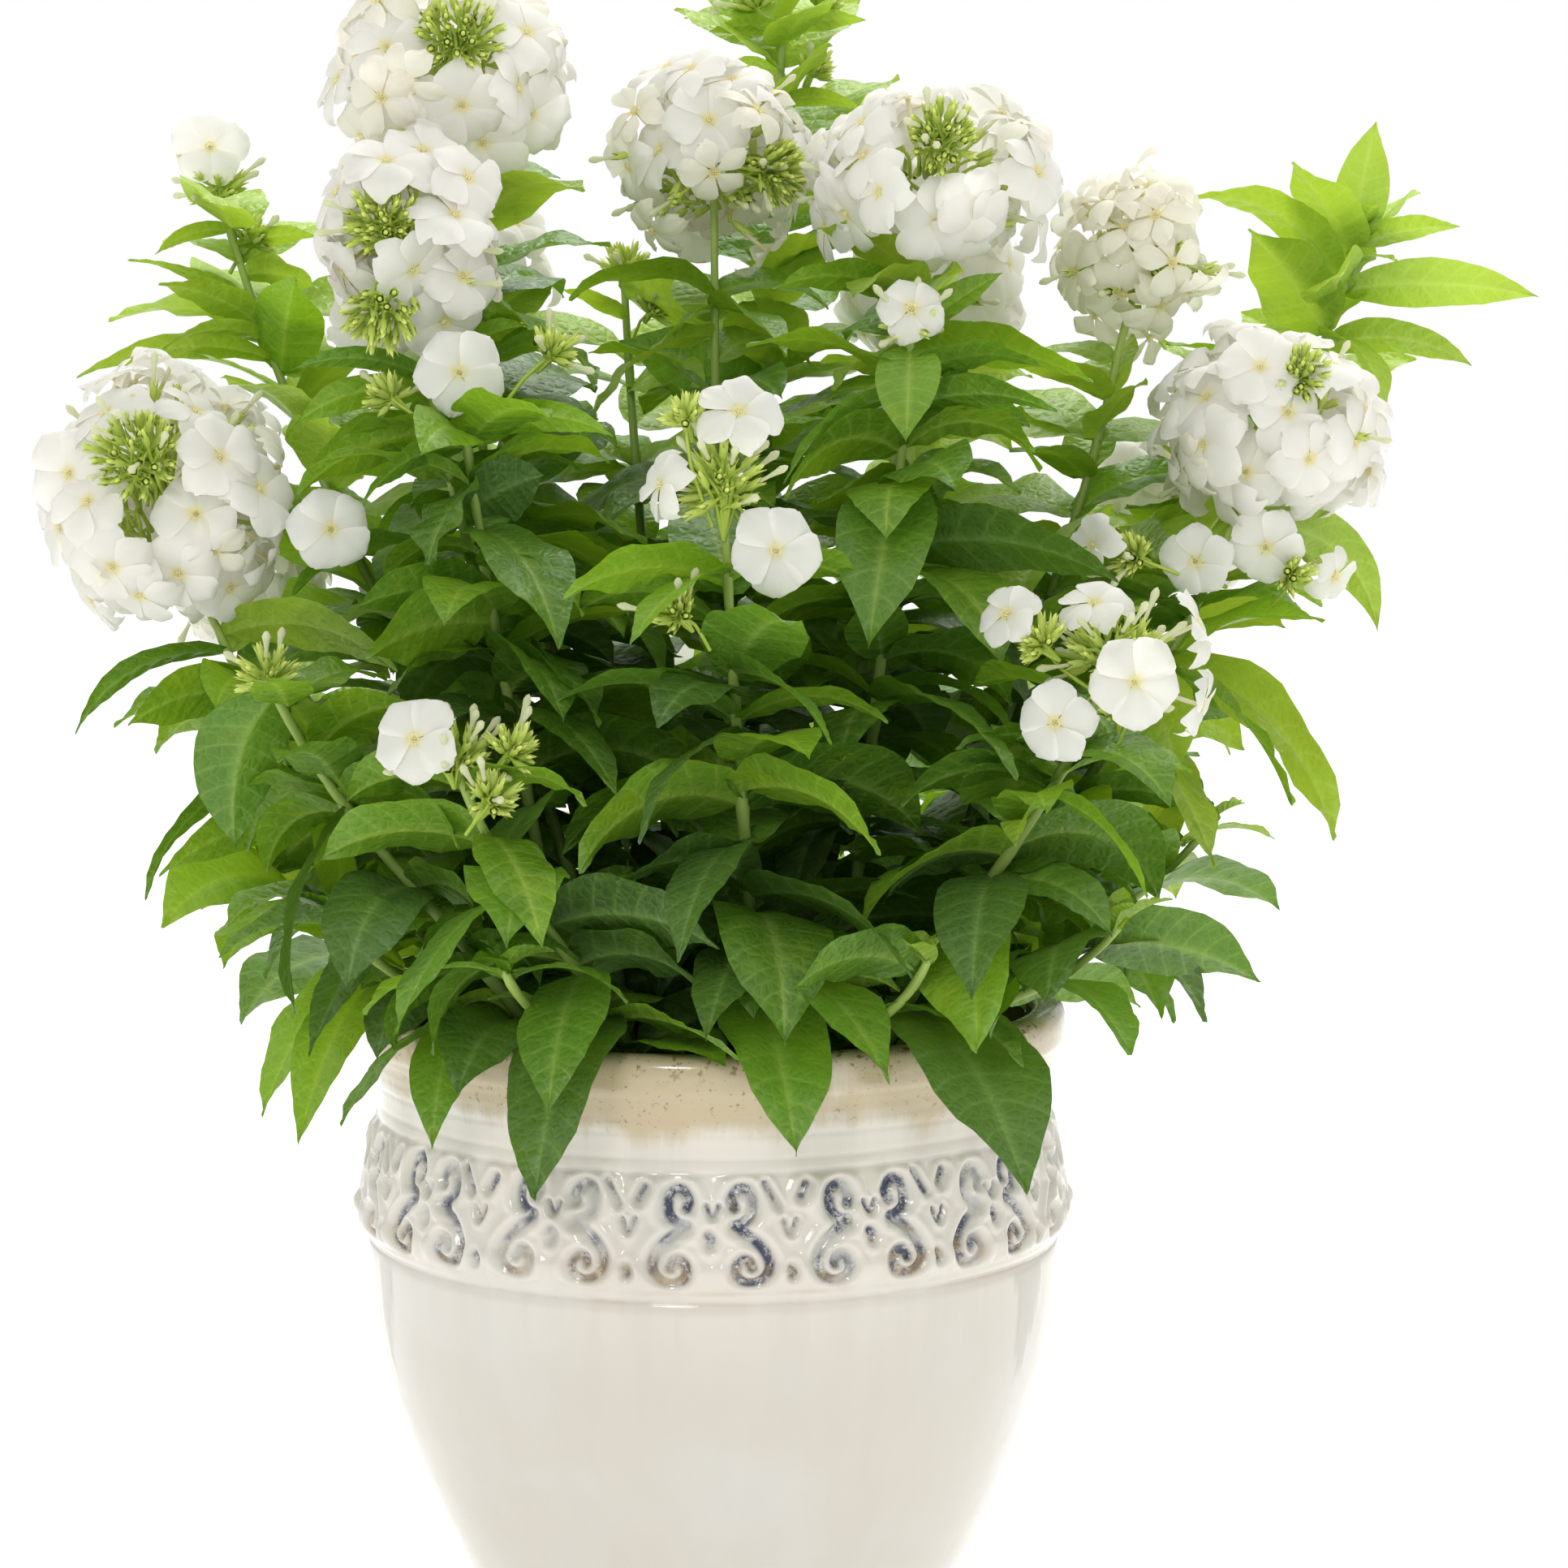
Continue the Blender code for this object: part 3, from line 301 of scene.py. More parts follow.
STEMS = (
    Stem("front_middle", (20, -104), (6, -150, 510), Kind.LOOSE, (13, 24), True, phase=20, sizes=(0.98,
         1.04, 0.86), blooms=((6, -6, 30, 0.1, -0.8, 0.7), (20, -14, -22, 0.15, -1.0, 0.1), (-24, -4, 2,
         -0.9, -0.4, 0.2)), tufts=((-17, -10, -47, 9), (-14, -2, 26, 8)), leaves=((48, 32, -190, 260, 20,
         60, 0), (60, 72, -190, 288, 20, 60, 30), (88, 79, -195, 329, 19, 60, 45), (112, -15, -200, 336,
         14, 60, 30), (72, 0, -195, 305, 13, 50, 20), (220, -26, -190, 454, 11, 60, 40), (180, 48, -185,
         416, 13, 60, 45), (152, -25, -190, 379, 13, 80, 45), (132, 66, -190, 375, 17, 60, 50))),
    Stem("front_left", (-24, -94), (-96, -166, 408), Kind.LOOSE, (14, 13), True, phase=70, sizes=(0.98,),
         blooms=((-14, -16, 10, -0.35, -1.0, 0.25),), tufts=((14, -8, -14, 12), (22, -6, 4, 10)),
         leaves=((69, -97, -185, 272, 20, 60, 30), (46, -70, -178, 241, 21, 70, 20), (43, 10, -175, 294,
         11, 40, 50), (95, 5, -180, 338, 17, 50, 60), (118, -117, -190, 307, 17, 60, 40), (144, -63, -210,
         343, 13, 60, 20))),
    Stem("left_single", (-56, -60), (-97, -98, 545), Kind.LOOSE, (6, 7), True, phase=35, sizes=(1.04,),
         blooms=((0, -6, 8, 0.05, -1.0, 0.2),), tufts=((-28, 8, -3, 9), (35, 8, 14, 9)), leaves=((204,
         -139, -110, 461, 14, 50, 55), (195, -134, -110, 441, 19, 50, 60), (233, -57, -150, 449, 18, 70,
         10), (266, -133, -130, 503, 12, 60, 50), (161, -37, -150, 393, 15, 60, 40), (252, -110, -110,
         478, 19, 50, 30), (242, -65, -90, 512, 15, 30, 50), (271, -36, -110, 528, 8, 60, 50))),
    Stem("right_low", (62, -76), (156, -138, 446), Kind.LOOSE, (20, 16), True, phase=15, sizes=(1.05,
         0.92, 0.8, 0.88, 0.9, 0.82), blooms=((6, -26, -8, 0.1, -1.0, 0.1), (-24, -22, -24, -0.35, -1.0,
         0.0), (-42, -4, 16, -0.5, -0.7, 0.5), (-8, 2, 20, -0.1, -0.5, 0.9), (32, 0, 12, 1.0, -0.2, 0.5),
         (34, 2, -20, 1.0, -0.3, -0.3)), tufts=((-28, -6, 4, 9), (2, -8, -22, 8)), leaves=((45, 118, -180,
         243, 27, 60, 25), (111, 97, -190, 320, 17, 60, 0), (153, 168, -150, 353, 11, 60, 40))),
    Stem("left_low", (-86, -38), (-218, -50, 500), Kind.DOME, (52, 57), True, phase=60, blooms=((69, -40,
         -9, 0.25, -1.0, 0.1),), hearts=((-8, -46, 22, 20),), leaves=((76, -132, -140, 273, 13, 70, 10),
         (127, -219, -90, 353, 14, 50, 60), (215, -128, -110, 442, 14, 50, 60), (189, -231, -80, 412, 14,
         50, 60), (207, -255, -60, 406, 8, 80, 30), (153, -228, -60, 339, 8, 80, 40))),
    Stem("left_inner", (-40, -28), (-120, -68, 600), Kind.DOME, (36, 50), True, phase=10, hearts=((-10,
         -26, 14, 13), (-10, -28, -28, 15)), leaves=((296, -178, -60, 552, 6, 60, 50), (291, -166, -60,
         530, 8, 60, 50), (276, -164, -70, 503, 14, 50, 55), (296, -72, -50, 570, 7, 50, 50))),
    Stem("left_crown", (-36, 10), (-108, 0, 672), Kind.DOME, (50, 44), True, phase=45, faded=0.32,
         hearts=((8, -40, 14, 18),)),
    Stem("left_top", (-66, 34), (-213, 100, 624), Kind.LOOSE, (9, 12), phase=80, droop=0.6, blooms=((-3,
         -4, 18, -0.05, -1.0, 0.3),), tufts=((14, 0, -22, 7),), leaves=((339, -246, 60, 594, 5, 40, 40),
         (332, -235, 50, 584, 9, 40, 50), (326, -231, 40, 557, 6, 60, 50), (319, -265, 40, 545, 7, 50,
         50), (358, -170, 80, 582, 9, 40, 55), (378, -239, 80, 596, 5, 50, 50), (371, -169, 90, 604, 5,
         30, 50))),
    Stem("middle", (2, 18), (0, 30, 636), Kind.DOME, (41, 46), True, phase=25, faded=0.16, hearts=((30,
         -26, -6, 13),), leaves=((301, -49, -20, 533, 12, 60, 50), (312, 32, -15, 555, 13, 60, 40), (312,
         -18, 0, 561, 5, 60, 40))),
    Stem("right_crown", (38, -4), (86, -20, 628), Kind.DOME, (53, 39), True, phase=75, hearts=((6, -44,
         18, 14),), leaves=((298, 153, -60, 547, 13, 40, 60), (320, 23, -50, 584, 8, 50, 50), (304, 118,
         -10, 590, 8, 15, 50))),
    Stem("middle_buds", (12, 52), (29, 100, 728), Kind.BUDS, (10, 14), phase=50, droop=0.6, tufts=((-12,
         0, -27, 7), (16, 0, -27, 7), (12, -4, -55, 7)), leaves=((431, -3, 90, 690, 5, 40, 50), (431, 64,
         90, 695, 5, 30, 50), (400, 62, 80, 657, 5, 50, 50))),
    Stem("middle_single", (52, -40), (79, -80, 570), Kind.LOOSE, (5, 6), phase=5, sizes=(0.8,),
         blooms=((0, -4, 7, 0.1, -1.0, 0.4),), leaves=((247, 65, -150, 449, 18, 60, 10), (159, 113, -165,
         400, 14, 60, 50), (221, 158, -110, 471, 17, 50, 60), (303, 77, -115, 526, 12, 50, 0), (283, 29,
         -120, 510, 9, 60, 50), (278, 136, -100, 537, 9, 50, 55))),
    Stem("right_old", (80, 26), (177, 50, 596), Kind.DOME, (34, 42), True, phase=65, old=True),
    Stem("right_big", (84, -14), (227, 0, 526), Kind.DOME, (46, 45), True, phase=30, sizes=(0.94, 0.88,
         0.72, 0.78), blooms=((-2, -22, -47, 0.0, -1.0, -0.2), (-31, -30, -52, -0.2, -1.0, -0.1), (28, -6,
         -60, 0.7, -0.7, -0.4), (-74, -40, -45, -0.8, -0.6, 0.2)), hearts=((12, -40, 26, 7),),
         tufts=((-56, -34, -50, 8), (8, -20, -58, 8)), leaves=((198, 253, -40, 361, 18, 70, 50), (193,
         234, -70, 379, 15, 60, 50), (163, 197, -90, 356, 15, 60, 40), (254, 310, 0, 441, 14, 90, 50))),
    Stem("right_far", (66, 40), (276, 98, 606), Kind.LEAFY, phase=84, droop=0.5, upturn=1.2, leaves=((383,
         197, 70, 619, 11, 80, 40), (383, 353, 95, 578, 11, 25, 60), (362, 227, 90, 607, 19, 20, 50),
         (362, 282, 50, 528, 12, 90, 40), (356, 322, 80, 549, 9, 60, 50), (403, 283, 100, 653, 11, 10,
         30), (403, 260, 90, 631, 7, 20, 30), (403, 317, 85, 608, 7, 30, 50), (397, 289, 70, 593, 7, 40,
         40), (403, 295, 95, 630, 6, 10, 20))),
    Stem("left_front", (-58, -88), (-170, -130, 436), Kind.BUDS, (7, 8), phase=55, leaves=((153, -161,
         -130, 304, 19, 60, 25), (205, -187, -110, 367, 17, 70, 30))),
    Stem("middle_back", (-16, 80), (-40, 106, 588), Kind.BUDS, (8, 10), phase=20, tufts=((12, -4, -16,
         6),), leaves=((317, 2, 60, 563, 20, 30, 60), (307, -66, 80, 582, 5, 30, 40))),
    Stem("back_left", (-72, 62), (-206, 124, 462), Kind.DOME, (42, 42), True, phase=40),
    Stem("back_left_top", (-40, 50), (-116, 132, 596), Kind.DOME, (42, 40), True, phase=85),
    Stem("back_right_top", (26, 66), (96, 140, 584), Kind.DOME, (42, 40), True, phase=15),
    Stem("back_right", (70, 66), (206, 132, 484), Kind.DOME, (42, 40), True, phase=50),
    Stem("back_middle", (-6, 98), (-6, 212, 440), Kind.LOOSE, (18, 18), phase=30, blooms=((0, 22, 2, 0.0,
         1.0, 0.2), (-26, 8, 8, -0.8, 0.7, 0.3), (26, 8, 8, 0.8, 0.7, 0.3), (0, 10, 26, 0.0, 0.5, 1.0),
         (-4, 18, -28, -0.1, 1.0, -0.2))),
    Stem("back_low_left", (-46, 76), (-128, 206, 388), Kind.BUDS, (8, 9), phase=10),
    Stem("back_low_right", (44, 72), (128, 212, 384), Kind.LEAFY, phase=75),
    Stem("rim_left", (-90, -6), (-196, 6, 352), Kind.LEAFY, phase=45, leaves=((73, -179, -60, 250, 14, 55,
         40), (61, -165, -95, 246, 15, 60, 35), (108, -198, -70, 313, 17, 50, 60))),
    Stem("rim_left_front", (-66, -54), (-146, -116, 340), Kind.LEAFY, phase=0, leaves=((58, -143, -125,
         259, 15, 60, 45), (54, -111, -150, 255, 13, 60, 20))),
    Stem("rim_front_left", (-38, -72), (-78, -158, 326), Kind.LEAFY, phase=30),
    Stem("rim_front_right", (40, -74), (84, -158, 330), Kind.LEAFY, phase=60, leaves=((26, 56, -168, 254,
         14, 50, 10), (47, 68, -160, 252, 14, 50, 0))),
    Stem("rim_right_front", (66, -46), (160, -112, 336), Kind.LEAFY, phase=20, leaves=((95, 162, -150,
         292, 19, 60, 40), (122, 217, -100, 313, 18, 45, 60))),
    Stem("rim_right", (88, 10), (206, 16, 360), Kind.LEAFY, phase=80, leaves=((88, 185, -60, 291, 18, 50,
         40),)),
    Stem("rim_back_left", (-80, 36), (-176, 84, 346), Kind.LEAFY, phase=15),
)


@dataclass
class StemRule:
    """Sizes that every stem shares, from the part's source."""

    compost_top: float = 262 * MM
    foot_radius: float = 3.0 * MM
    tip_radius: float = 1.6 * MM
    bare_share: float = 0.13
    shoot_bare: float = 14 * MM
    segment: float = 60 * MM
    foot_rise: float = 4 * MM
    root_flare: float = 1.15
    upright_start: float = 0.35
    bend_share: float = 0.36
    dome_reach: float = 0.98
    loose_reach: float = 0.5
    sides: int = 6

    def bare(self, stem: Stem, path: "StemPath") -> float:
        """How far up the stem its leafy stretch begins."""
        return self.bare_share * path.length if stem.own_stem else self.shoot_bare


STEM_RULE = StemRule()


class StemPath:
    """A stem's centre line: it leaves the compost upright, leans out and turns up again."""

    def __init__(self, stem: Stem) -> None:
        """Lays the line of one stem.

        Args:
            stem: The stem.
        """
        rule = STEM_RULE
        foot = Vector((stem.foot[0] * MM, stem.foot[1] * MM, rule.compost_top + GAP))
        start = foot + UP * rule.foot_rise
        top = mm(*stem.top)
        chord = (top - start).normalized()
        upturn = (chord + UP * stem.upturn).normalized()
        share = rule.dome_reach if stem.kind is Kind.DOME else rule.loose_reach
        end = top - upturn * (stem.size[1] * MM * share)
        bend = (end - start).length * rule.bend_share
        first = start + (chord + UP * rule.upright_start).normalized() * bend
        second = end - upturn * bend
        self.corners = (start, first, second, end)
        count = max(2, round((end - start).length / rule.segment))
        self.points = [foot] + [self.bezier(i / count) for i in range(count + 1)]
        self.marks = [0.0]
        for before, after in zip(self.points, self.points[1:]):
            self.marks.append(self.marks[-1] + (after - before).length)
        self.length = self.marks[-1]

    def bezier(self, t: float) -> Vector:
        """The point at a share of the smooth line above the stem's upright foot.

        Args:
            t: Share of the line, from 0 to 1.

        Returns:
            The point.
        """
        a, b, c, d = self.corners
        u = 1.0 - t
        return a * u ** 3 + b * (3 * u * u * t) + c * (3 * u * t * t) + d * t ** 3

    def at(self, distance: float) -> Vector:
        """The point of the straight stretches at a distance from the foot.

        Args:
            distance: How far up from the foot.

        Returns:
            The point.
        """
        i = 0
        while i < len(self.marks) - 2 and self.marks[i + 1] < distance:
            i += 1
        share = (distance - self.marks[i]) / (self.marks[i + 1] - self.marks[i])
        return self.points[i].lerp(self.points[i + 1], share)

    def radius(self, distance: float) -> float:
        """The stem's radius at a distance from its foot.

        Args:
            distance: How far up from the foot.

        Returns:
            The radius.
        """
        rule = STEM_RULE
        flare = rule.root_flare if distance == 0.0 else 1.0
        share = distance / self.length
        return (rule.foot_radius + (rule.tip_radius - rule.foot_radius) * share) * flare

    def smooth(self, count: int) -> np.ndarray:
        """The same line as a smooth curve.

        Args:
            count: Points along it.

        Returns:
            The curve's points.
        """
        curve = [self.bezier(i / (count - 1)) for i in range(count)]
        return np.array([self.points[0], *curve])


@dataclass
class Leaf:
    """One leaf: where it is rooted, which way it leaves, and how it bends."""

    root: Vector
    out: Vector
    length: float
    rise: float
    droop: float
    roll: float
    width: float = 0.235           # half its width, of its length
    high: float = 0.0              # share of the stem's height where it grows
    fresh: float = 0.0             # 0 for a full-grown leaf, up to 1 for one just unfolded
    keel: float = 0.16
    steps: int = 8

    def direction(self, angle: float) -> Vector:
        """The leaf's direction at an angle above level."""
        return self.out * math.cos(angle) + UP * math.sin(angle)

    def spine(self, share: float) -> tuple[Vector, Vector]:
        """The point at a share of the leaf's length, and the direction there.

        Args:
            share: From 0 at the root to 1 at the tip.

        Returns:
            The point and the direction.
        """
        point = self.root.copy()
        step = share * self.length / self.steps
        for i in range(self.steps):
            point += self.direction(self.rise - self.droop * share * (i + 0.5) / self.steps) * step
        return point, self.direction(self.rise - self.droop * share)

    def section(self, share: float, width_share: float, grow: float) -> tuple[Vector, Vector, Vector]:
        """The left edge, right edge and keel of a section across the leaf.

        Args:
            share: Place along the leaf.
            width_share: The width there, of the widest.
            grow: Room added all round.

        Returns:
            The three points.
        """
        point, ahead = self.spine(share)
        side = Matrix.Rotation(self.roll, 3, ahead) @ self.out.cross(UP).normalized()
        below = ahead.cross(side).normalized()
        if below.z > 0:
            below = -below
        half = self.length * self.width * width_share
        lift = below * (half * self.keel * 0.5 + grow)
        edge = side * (half + grow)
        return point - edge - lift, point + edge - lift, point + lift

    def coarse(self, start: float = 0.0, grow: float = 0.0) -> Solid:
        """The source's folded blade, for the test of space.

        Args:
            start: Share of the leaf where the blade begins.
            grow: Room added all round.

        Returns:
            Its points and faces.
        """
        first = self.spine(start)[0] if start else self.root
        left1, right1, keel1 = self.section(0.36, 1.0, grow)
        left2, right2, keel2 = self.section(0.70, 0.74, grow)
        tip = self.spine(1.0)[0]
        points = [first, left1, right1, keel1, left2, right2, keel2, tip]
        faces = [(0, 2, 1), (0, 1, 3), (0, 3, 2), (1, 2, 5), (1, 5, 4), (3, 1, 4), (3, 4, 6),
                 (2, 3, 6), (2, 6, 5), (4, 5, 7), (6, 4, 7), (5, 6, 7)]
        return points, faces


class Space:
    """Everything that is already placed, to keep new pieces clear of it."""

    def __init__(self) -> None:
        """Starts empty."""
        self.owners: list[str] = []
        self.trees: list[BVHTree] = []
        self.lows = np.zeros((0, 3))
        self.highs = np.zeros((0, 3))

    def add(self, owner: str, points: list[Vector], faces: Faces) -> None:
        """Takes up room for one solid.

        Args:
            owner: Whose solid it is.
            points: The solid's points.
            faces: Its faces.
        """
        corners = np.array(points)
        self.owners.append(owner)
        self.trees.append(BVHTree.FromPolygons(points, faces))
        self.lows = np.vstack([self.lows, corners.min(0)])
        self.highs = np.vstack([self.highs, corners.max(0)])

    def clear_out(self, owner: str) -> None:
        """Gives back the room of one owner.

        Args:
            owner: Whose room it is.
        """
        kept = [i for i, name in enumerate(self.owners) if name != owner]
        self.owners = [self.owners[i] for i in kept]
        self.trees = [self.trees[i] for i in kept]
        self.lows, self.highs = self.lows[kept], self.highs[kept]

    def is_clear(self, points: list[Vector], faces: Faces, whose: str = "",
                 own: bool = False) -> bool:
        """Tests a solid against what isn't whose, or with own only against what is.

        Args:
            points: The solid's points.
            faces: Its faces.
            whose: The stem that it belongs to.
            own: Whether only that stem's own solids count.

        Returns:
            True if it touches none.
        """
        corners = np.array(points)
        low, high = corners.min(0), corners.max(0)
        near = np.nonzero(((low <= self.highs) & (high >= self.lows)).all(1))[0]
        tree = None
        for i in near:
            if (self.owners[i] == whose) != own:
                continue
            tree = tree or BVHTree.FromPolygons(points, faces)
            if tree.overlap(self.trees[i]):
                return False
        return True


@dataclass
class Site:
    """Where one stem grows: its centre line, what is already placed, and its random numbers."""

    stem: Stem
    path: StemPath
    space: Space
    dice: Dice


def sites(paths: dict[str, StemPath], space: Space, seed: int) -> list[Site]:
    """Every stem's site.

    Args:
        paths: Each stem's centre line.
        space: What is already placed.
        seed: The first stem's seed. Each stem adds its number.

    Returns:
        The sites, in the stems' order.
    """
    return [Site(stem, paths[stem.name], space, random.Random(seed + number))
            for number, stem in enumerate(STEMS)]


@dataclass(frozen=True)
class Trait:
    """A measure of the seeded leaves: low on a stem, at its top, and how far they differ."""

    low: float
    top: float
    spread: float

    def at(self, share: float, dice: Dice) -> float:
        """The measure at a share of the stem's height."""
        return self.low + (self.top - self.low) * share + dice.uniform(-self.spread, self.spread)


@dataclass(frozen=True)
class LeafRule:
    """The source's rule: leaves set one by one, then opposite pairs, each turned a quarter."""

    first_pair: float = 4 * MM
    top_room: float = 6 * MM
    internode: float = 45 * MM
    taper: float = 1.3
    length: Trait = Trait(104 * MM, 62 * MM, 10 * MM)
    rise: Trait = Trait(18, 40, 9)
    droop: Trait = Trait(112, 70, 16)
    root_sink: float = 0.7
    pair_turn: float = math.radians(14)
    leaf_turn: float = math.radians(7)
    leaf_roll: float = math.radians(14)
    lean: float = 0.5
    lean_reach: float = 100 * MM
    tries: int = 9
    try_turn: float = math.radians(13)
    try_droop: float = 0.25
    try_shrink: float = 0.95
    margin: float = 0.8 * MM
    free_from: float = 0.12
    set_seed: int = 300
    seed: int = 500

    def place(self, site: Site, leaf: Leaf) -> list[Leaf]:
        """Turns, droops and shortens a leaf until it is clear of all else.

        Args:
            site: Where its stem grows.
            leaf: The leaf.

        Returns:
            The leaf alone, or nothing if it never is clear.
        """
        space, owner = site.space, site.stem.name
        home = leaf.out.copy()
        for attempt in range(self.tries):
            apart = all(space.is_clear(*leaf.coarse(0.0, grow), whose=owner) for grow in (0.0, self.margin))
            if apart and space.is_clear(*leaf.coarse(self.free_from, self.margin), whose=owner, own=True):
                space.add(owner, *leaf.coarse())
                return [leaf]
            turn = self.try_turn * (attempt // 2 + 1) * (-1) ** attempt
            leaf.out = Matrix.Rotation(turn, 3, "Z") @ home
            leaf.droop += site.dice.uniform(-self.try_droop, self.try_droop)
            leaf.length *= self.try_shrink
        return []

    @staticmethod
    def height_share(path: StemPath, node: Vector) -> float:
        """How far up its stem a node is."""
        low, high = STEM_RULE.compost_top, path.points[-1].z
        return min(1.0, max(0.0, (node.z - low) / (high - low)))

    def set_leaves(self, site: Site) -> list[Leaf]:
        """Lays the leaves that are set one by one, each an arc from its node to its tip.

        Args:
            site: Where their stem grows.

        Returns:
            The leaves that found room.
        """
        path = site.path
        leaves = []
        for distance, x, y, z, half_width, bend, face in site.stem.leaves:
            node, tip = path.at(distance * MM), mm(x, y, z)
            out = Vector((tip.x - node.x, tip.y - node.y, 0.0)).normalized()
            root = node - out * path.radius(distance * MM) * self.root_sink
            reach = tip - root
            half_bend = math.radians(bend) / 2
            length = reach.length * half_bend / math.sin(half_bend)
            rise = math.atan2(reach.z, reach.xy.length) + half_bend
            leaf = Leaf(root, out, length, rise, half_bend * 2, math.radians(face) * out.x,
                        half_width * MM / length, self.height_share(path, node) ** self.taper)
            leaves += self.place(site, leaf)
        return leaves

    def leaf_at(self, site: Site, place: float, angle: float) -> Leaf:
        """A seeded leaf.

        Args:
            site: Where its stem grows.
            place: The distance up the stem.
            angle: The way the leaf points.

        Returns:
            The leaf.
        """
        path, dice = site.path, site.dice
        node = path.at(place)
        share = self.height_share(path, node) ** self.taper
        outward = Vector((node.x, node.y, 0.0)) / self.lean_reach
        outward /= max(1.0, outward.length)
        length = self.length.at(share, dice)
        rise = math.radians(self.rise.at(share, dice))
        droop = math.radians(self.droop.at(share, dice)) * site.stem.droop
        out = Vector((math.cos(angle), math.sin(angle), 0.0))
        roll = dice.uniform(-self.leaf_roll, self.leaf_roll) - self.lean * out.cross(outward).z
        root = node - out * path.radius(place) * self.root_sink
        return Leaf(root, out, length, rise, droop, roll, high=share)

    def grow(self, site: Site) -> list[Leaf]:
        """Grows a stem's own pairs of leaves.

        Args:
            site: Where it grows.

        Returns:
            The leaves that found room.
        """
        stem, path, dice = site.stem, site.path, site.dice
        place = STEM_RULE.bare(stem, path) + self.first_pair
        leaves = []
        pair = 0
        while place < path.length - self.top_room:
            turn = math.radians(stem.phase + 90 * pair) + dice.uniform(-self.pair_turn, self.pair_turn)
            for side in (0.0, math.pi):
                angle = turn + side + dice.uniform(-self.leaf_turn, self.leaf_turn)
                leaves += self.place(site, self.leaf_at(site, place, angle))
            place += self.internode
            pair += 1
        return leaves


@dataclass(frozen=True)
class FinerRule(LeafRule):
    """Carries the source's rule on: more leaves between the pairs, and small ones in the axils."""

    internode: float = 17 * MM
    rise: Trait = Trait(24, 46, 14)
    droop: Trait = Trait(100, 62, 20)
    leaf_turn: float = 0.4
    tries: int = 7
    margin: float = 0.3 * MM
    scales: tuple[Pair, ...] = ((0.78, 1.10), (0.34, 0.55))
    sparse: float = 0.6                # share of the places for small leaves that stay empty
    turn_between: Pair = (60, 120)      # degrees from one pair to the next
    small_rise: float = 0.5            # how much more steeply the smallest leaves stand
    full_grown: float = 1.3            # a leaf's scale times this is 1 once it counts as grown
    reach_room: float = 4 * MM
    # a leafy stem's end
    tip_leaves: int = 6
    tip_turn: float = math.radians(137.5)
    tip_play: float = 0.2
    tip_step: float = 0.5              # from one leaf's root down to the next, mm
    tip_length: Pair = (13 * MM, 27 * MM)
    tip_scale: Pair = (0.85, 1.15)
    tip_rise: Pair = (62, 78)
    tip_opening: float = 22            # how much lower the outer leaves stand, in degrees
    tip_droop: Pair = (15, 45)
    tip_sag: float = 25                # how much further the outer leaves droop
    tip_roll: float = 0.3
    tip_high: float = 0.85
    tip_fresh: float = 0.75
    seed: int = 900

    def fill(self, site: Site, low: Vector, high: Vector) -> list[Leaf]:
        """Grows a stem's side leaves where there is still room.

        Args:
            site: Where it grows.
            low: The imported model's lowest corner.
            high: Its highest corner.

        Returns:
            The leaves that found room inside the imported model's reach.
        """
        stem, path, dice = site.stem, site.path, site.dice
        place = STEM_RULE.bare(stem, path) + self.internode / 2
        leaves = []
        turn = math.radians(stem.phase + 45)
        while place < path.length - self.top_room / 2:
            turn += math.radians(dice.uniform(*self.turn_between))
            for side in (0.0, math.pi):
                for smallest, largest in self.scales[:1 if dice.random() < self.sparse else 2]:
                    angle = turn + side + dice.uniform(-self.leaf_turn, self.leaf_turn)
                    leaf = self.leaf_at(site, place, angle)
                    scale = dice.uniform(smallest, largest)
                    leaf.length *= scale
                    leaf.rise += max(0.0, 1 - scale) * self.small_rise
                    leaf.fresh = max(0.0, 1.0 - scale * self.full_grown)
                    grown = self.place(site, leaf)
                    leaves += [leaf for leaf in grown if self.inside(leaf, low, high)]
            place += self.internode
        return leaves

    def crown(self, site: Site) -> list[Leaf]:
        """Closes a leafy stem's end with a few leaves that have just unfolded.

        Args:
            site: Where it grows.

        Returns:
            The leaves that found room.
        """
        name, dice = site.stem.name, site.dice
        shortest, longest = self.tip_length
        leaves = []
        for k in range(self.tip_leaves):
            play = dice.uniform(-self.tip_play, self.tip_play)
            angle = math.radians(site.stem.phase) + k * self.tip_turn + play
            out = Vector((math.cos(angle), math.sin(angle), 0.0))
            sunk = out * STEM_RULE.tip_radius * self.root_sink
            root = site.path.points[-1] - sunk - UP * k * self.tip_step * MM
            share = k / self.tip_leaves
            length = (shortest + (longest - shortest) * share) * dice.uniform(*self.tip_scale)
            rise = math.radians(dice.uniform(*self.tip_rise) - self.tip_opening * share)
            droop = math.radians(dice.uniform(*self.tip_droop) + self.tip_sag * share)
            roll = dice.uniform(-self.tip_roll, self.tip_roll)
            leaf = Leaf(root, out, length, rise, droop, roll, high=self.tip_high, fresh=self.tip_fresh)
            if site.space.is_clear(*leaf.coarse(0.0, self.margin), whose=name):
                site.space.add(name, *leaf.coarse())
                leaves.append(leaf)
        return leaves

    def inside(self, leaf: Leaf, low: Vector, high: Vector) -> bool:
        """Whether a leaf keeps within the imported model's reach.

        Args:
            leaf: The leaf.
            low: The lowest corner.
            high: The highest corner.

        Returns:
            True if all of it does.
        """
        points = leaf.coarse()[0]
        room = self.reach_room
        return all(low[i] - room < p[i] < high[i] + room for p in points for i in range(3))


# ---- finishes


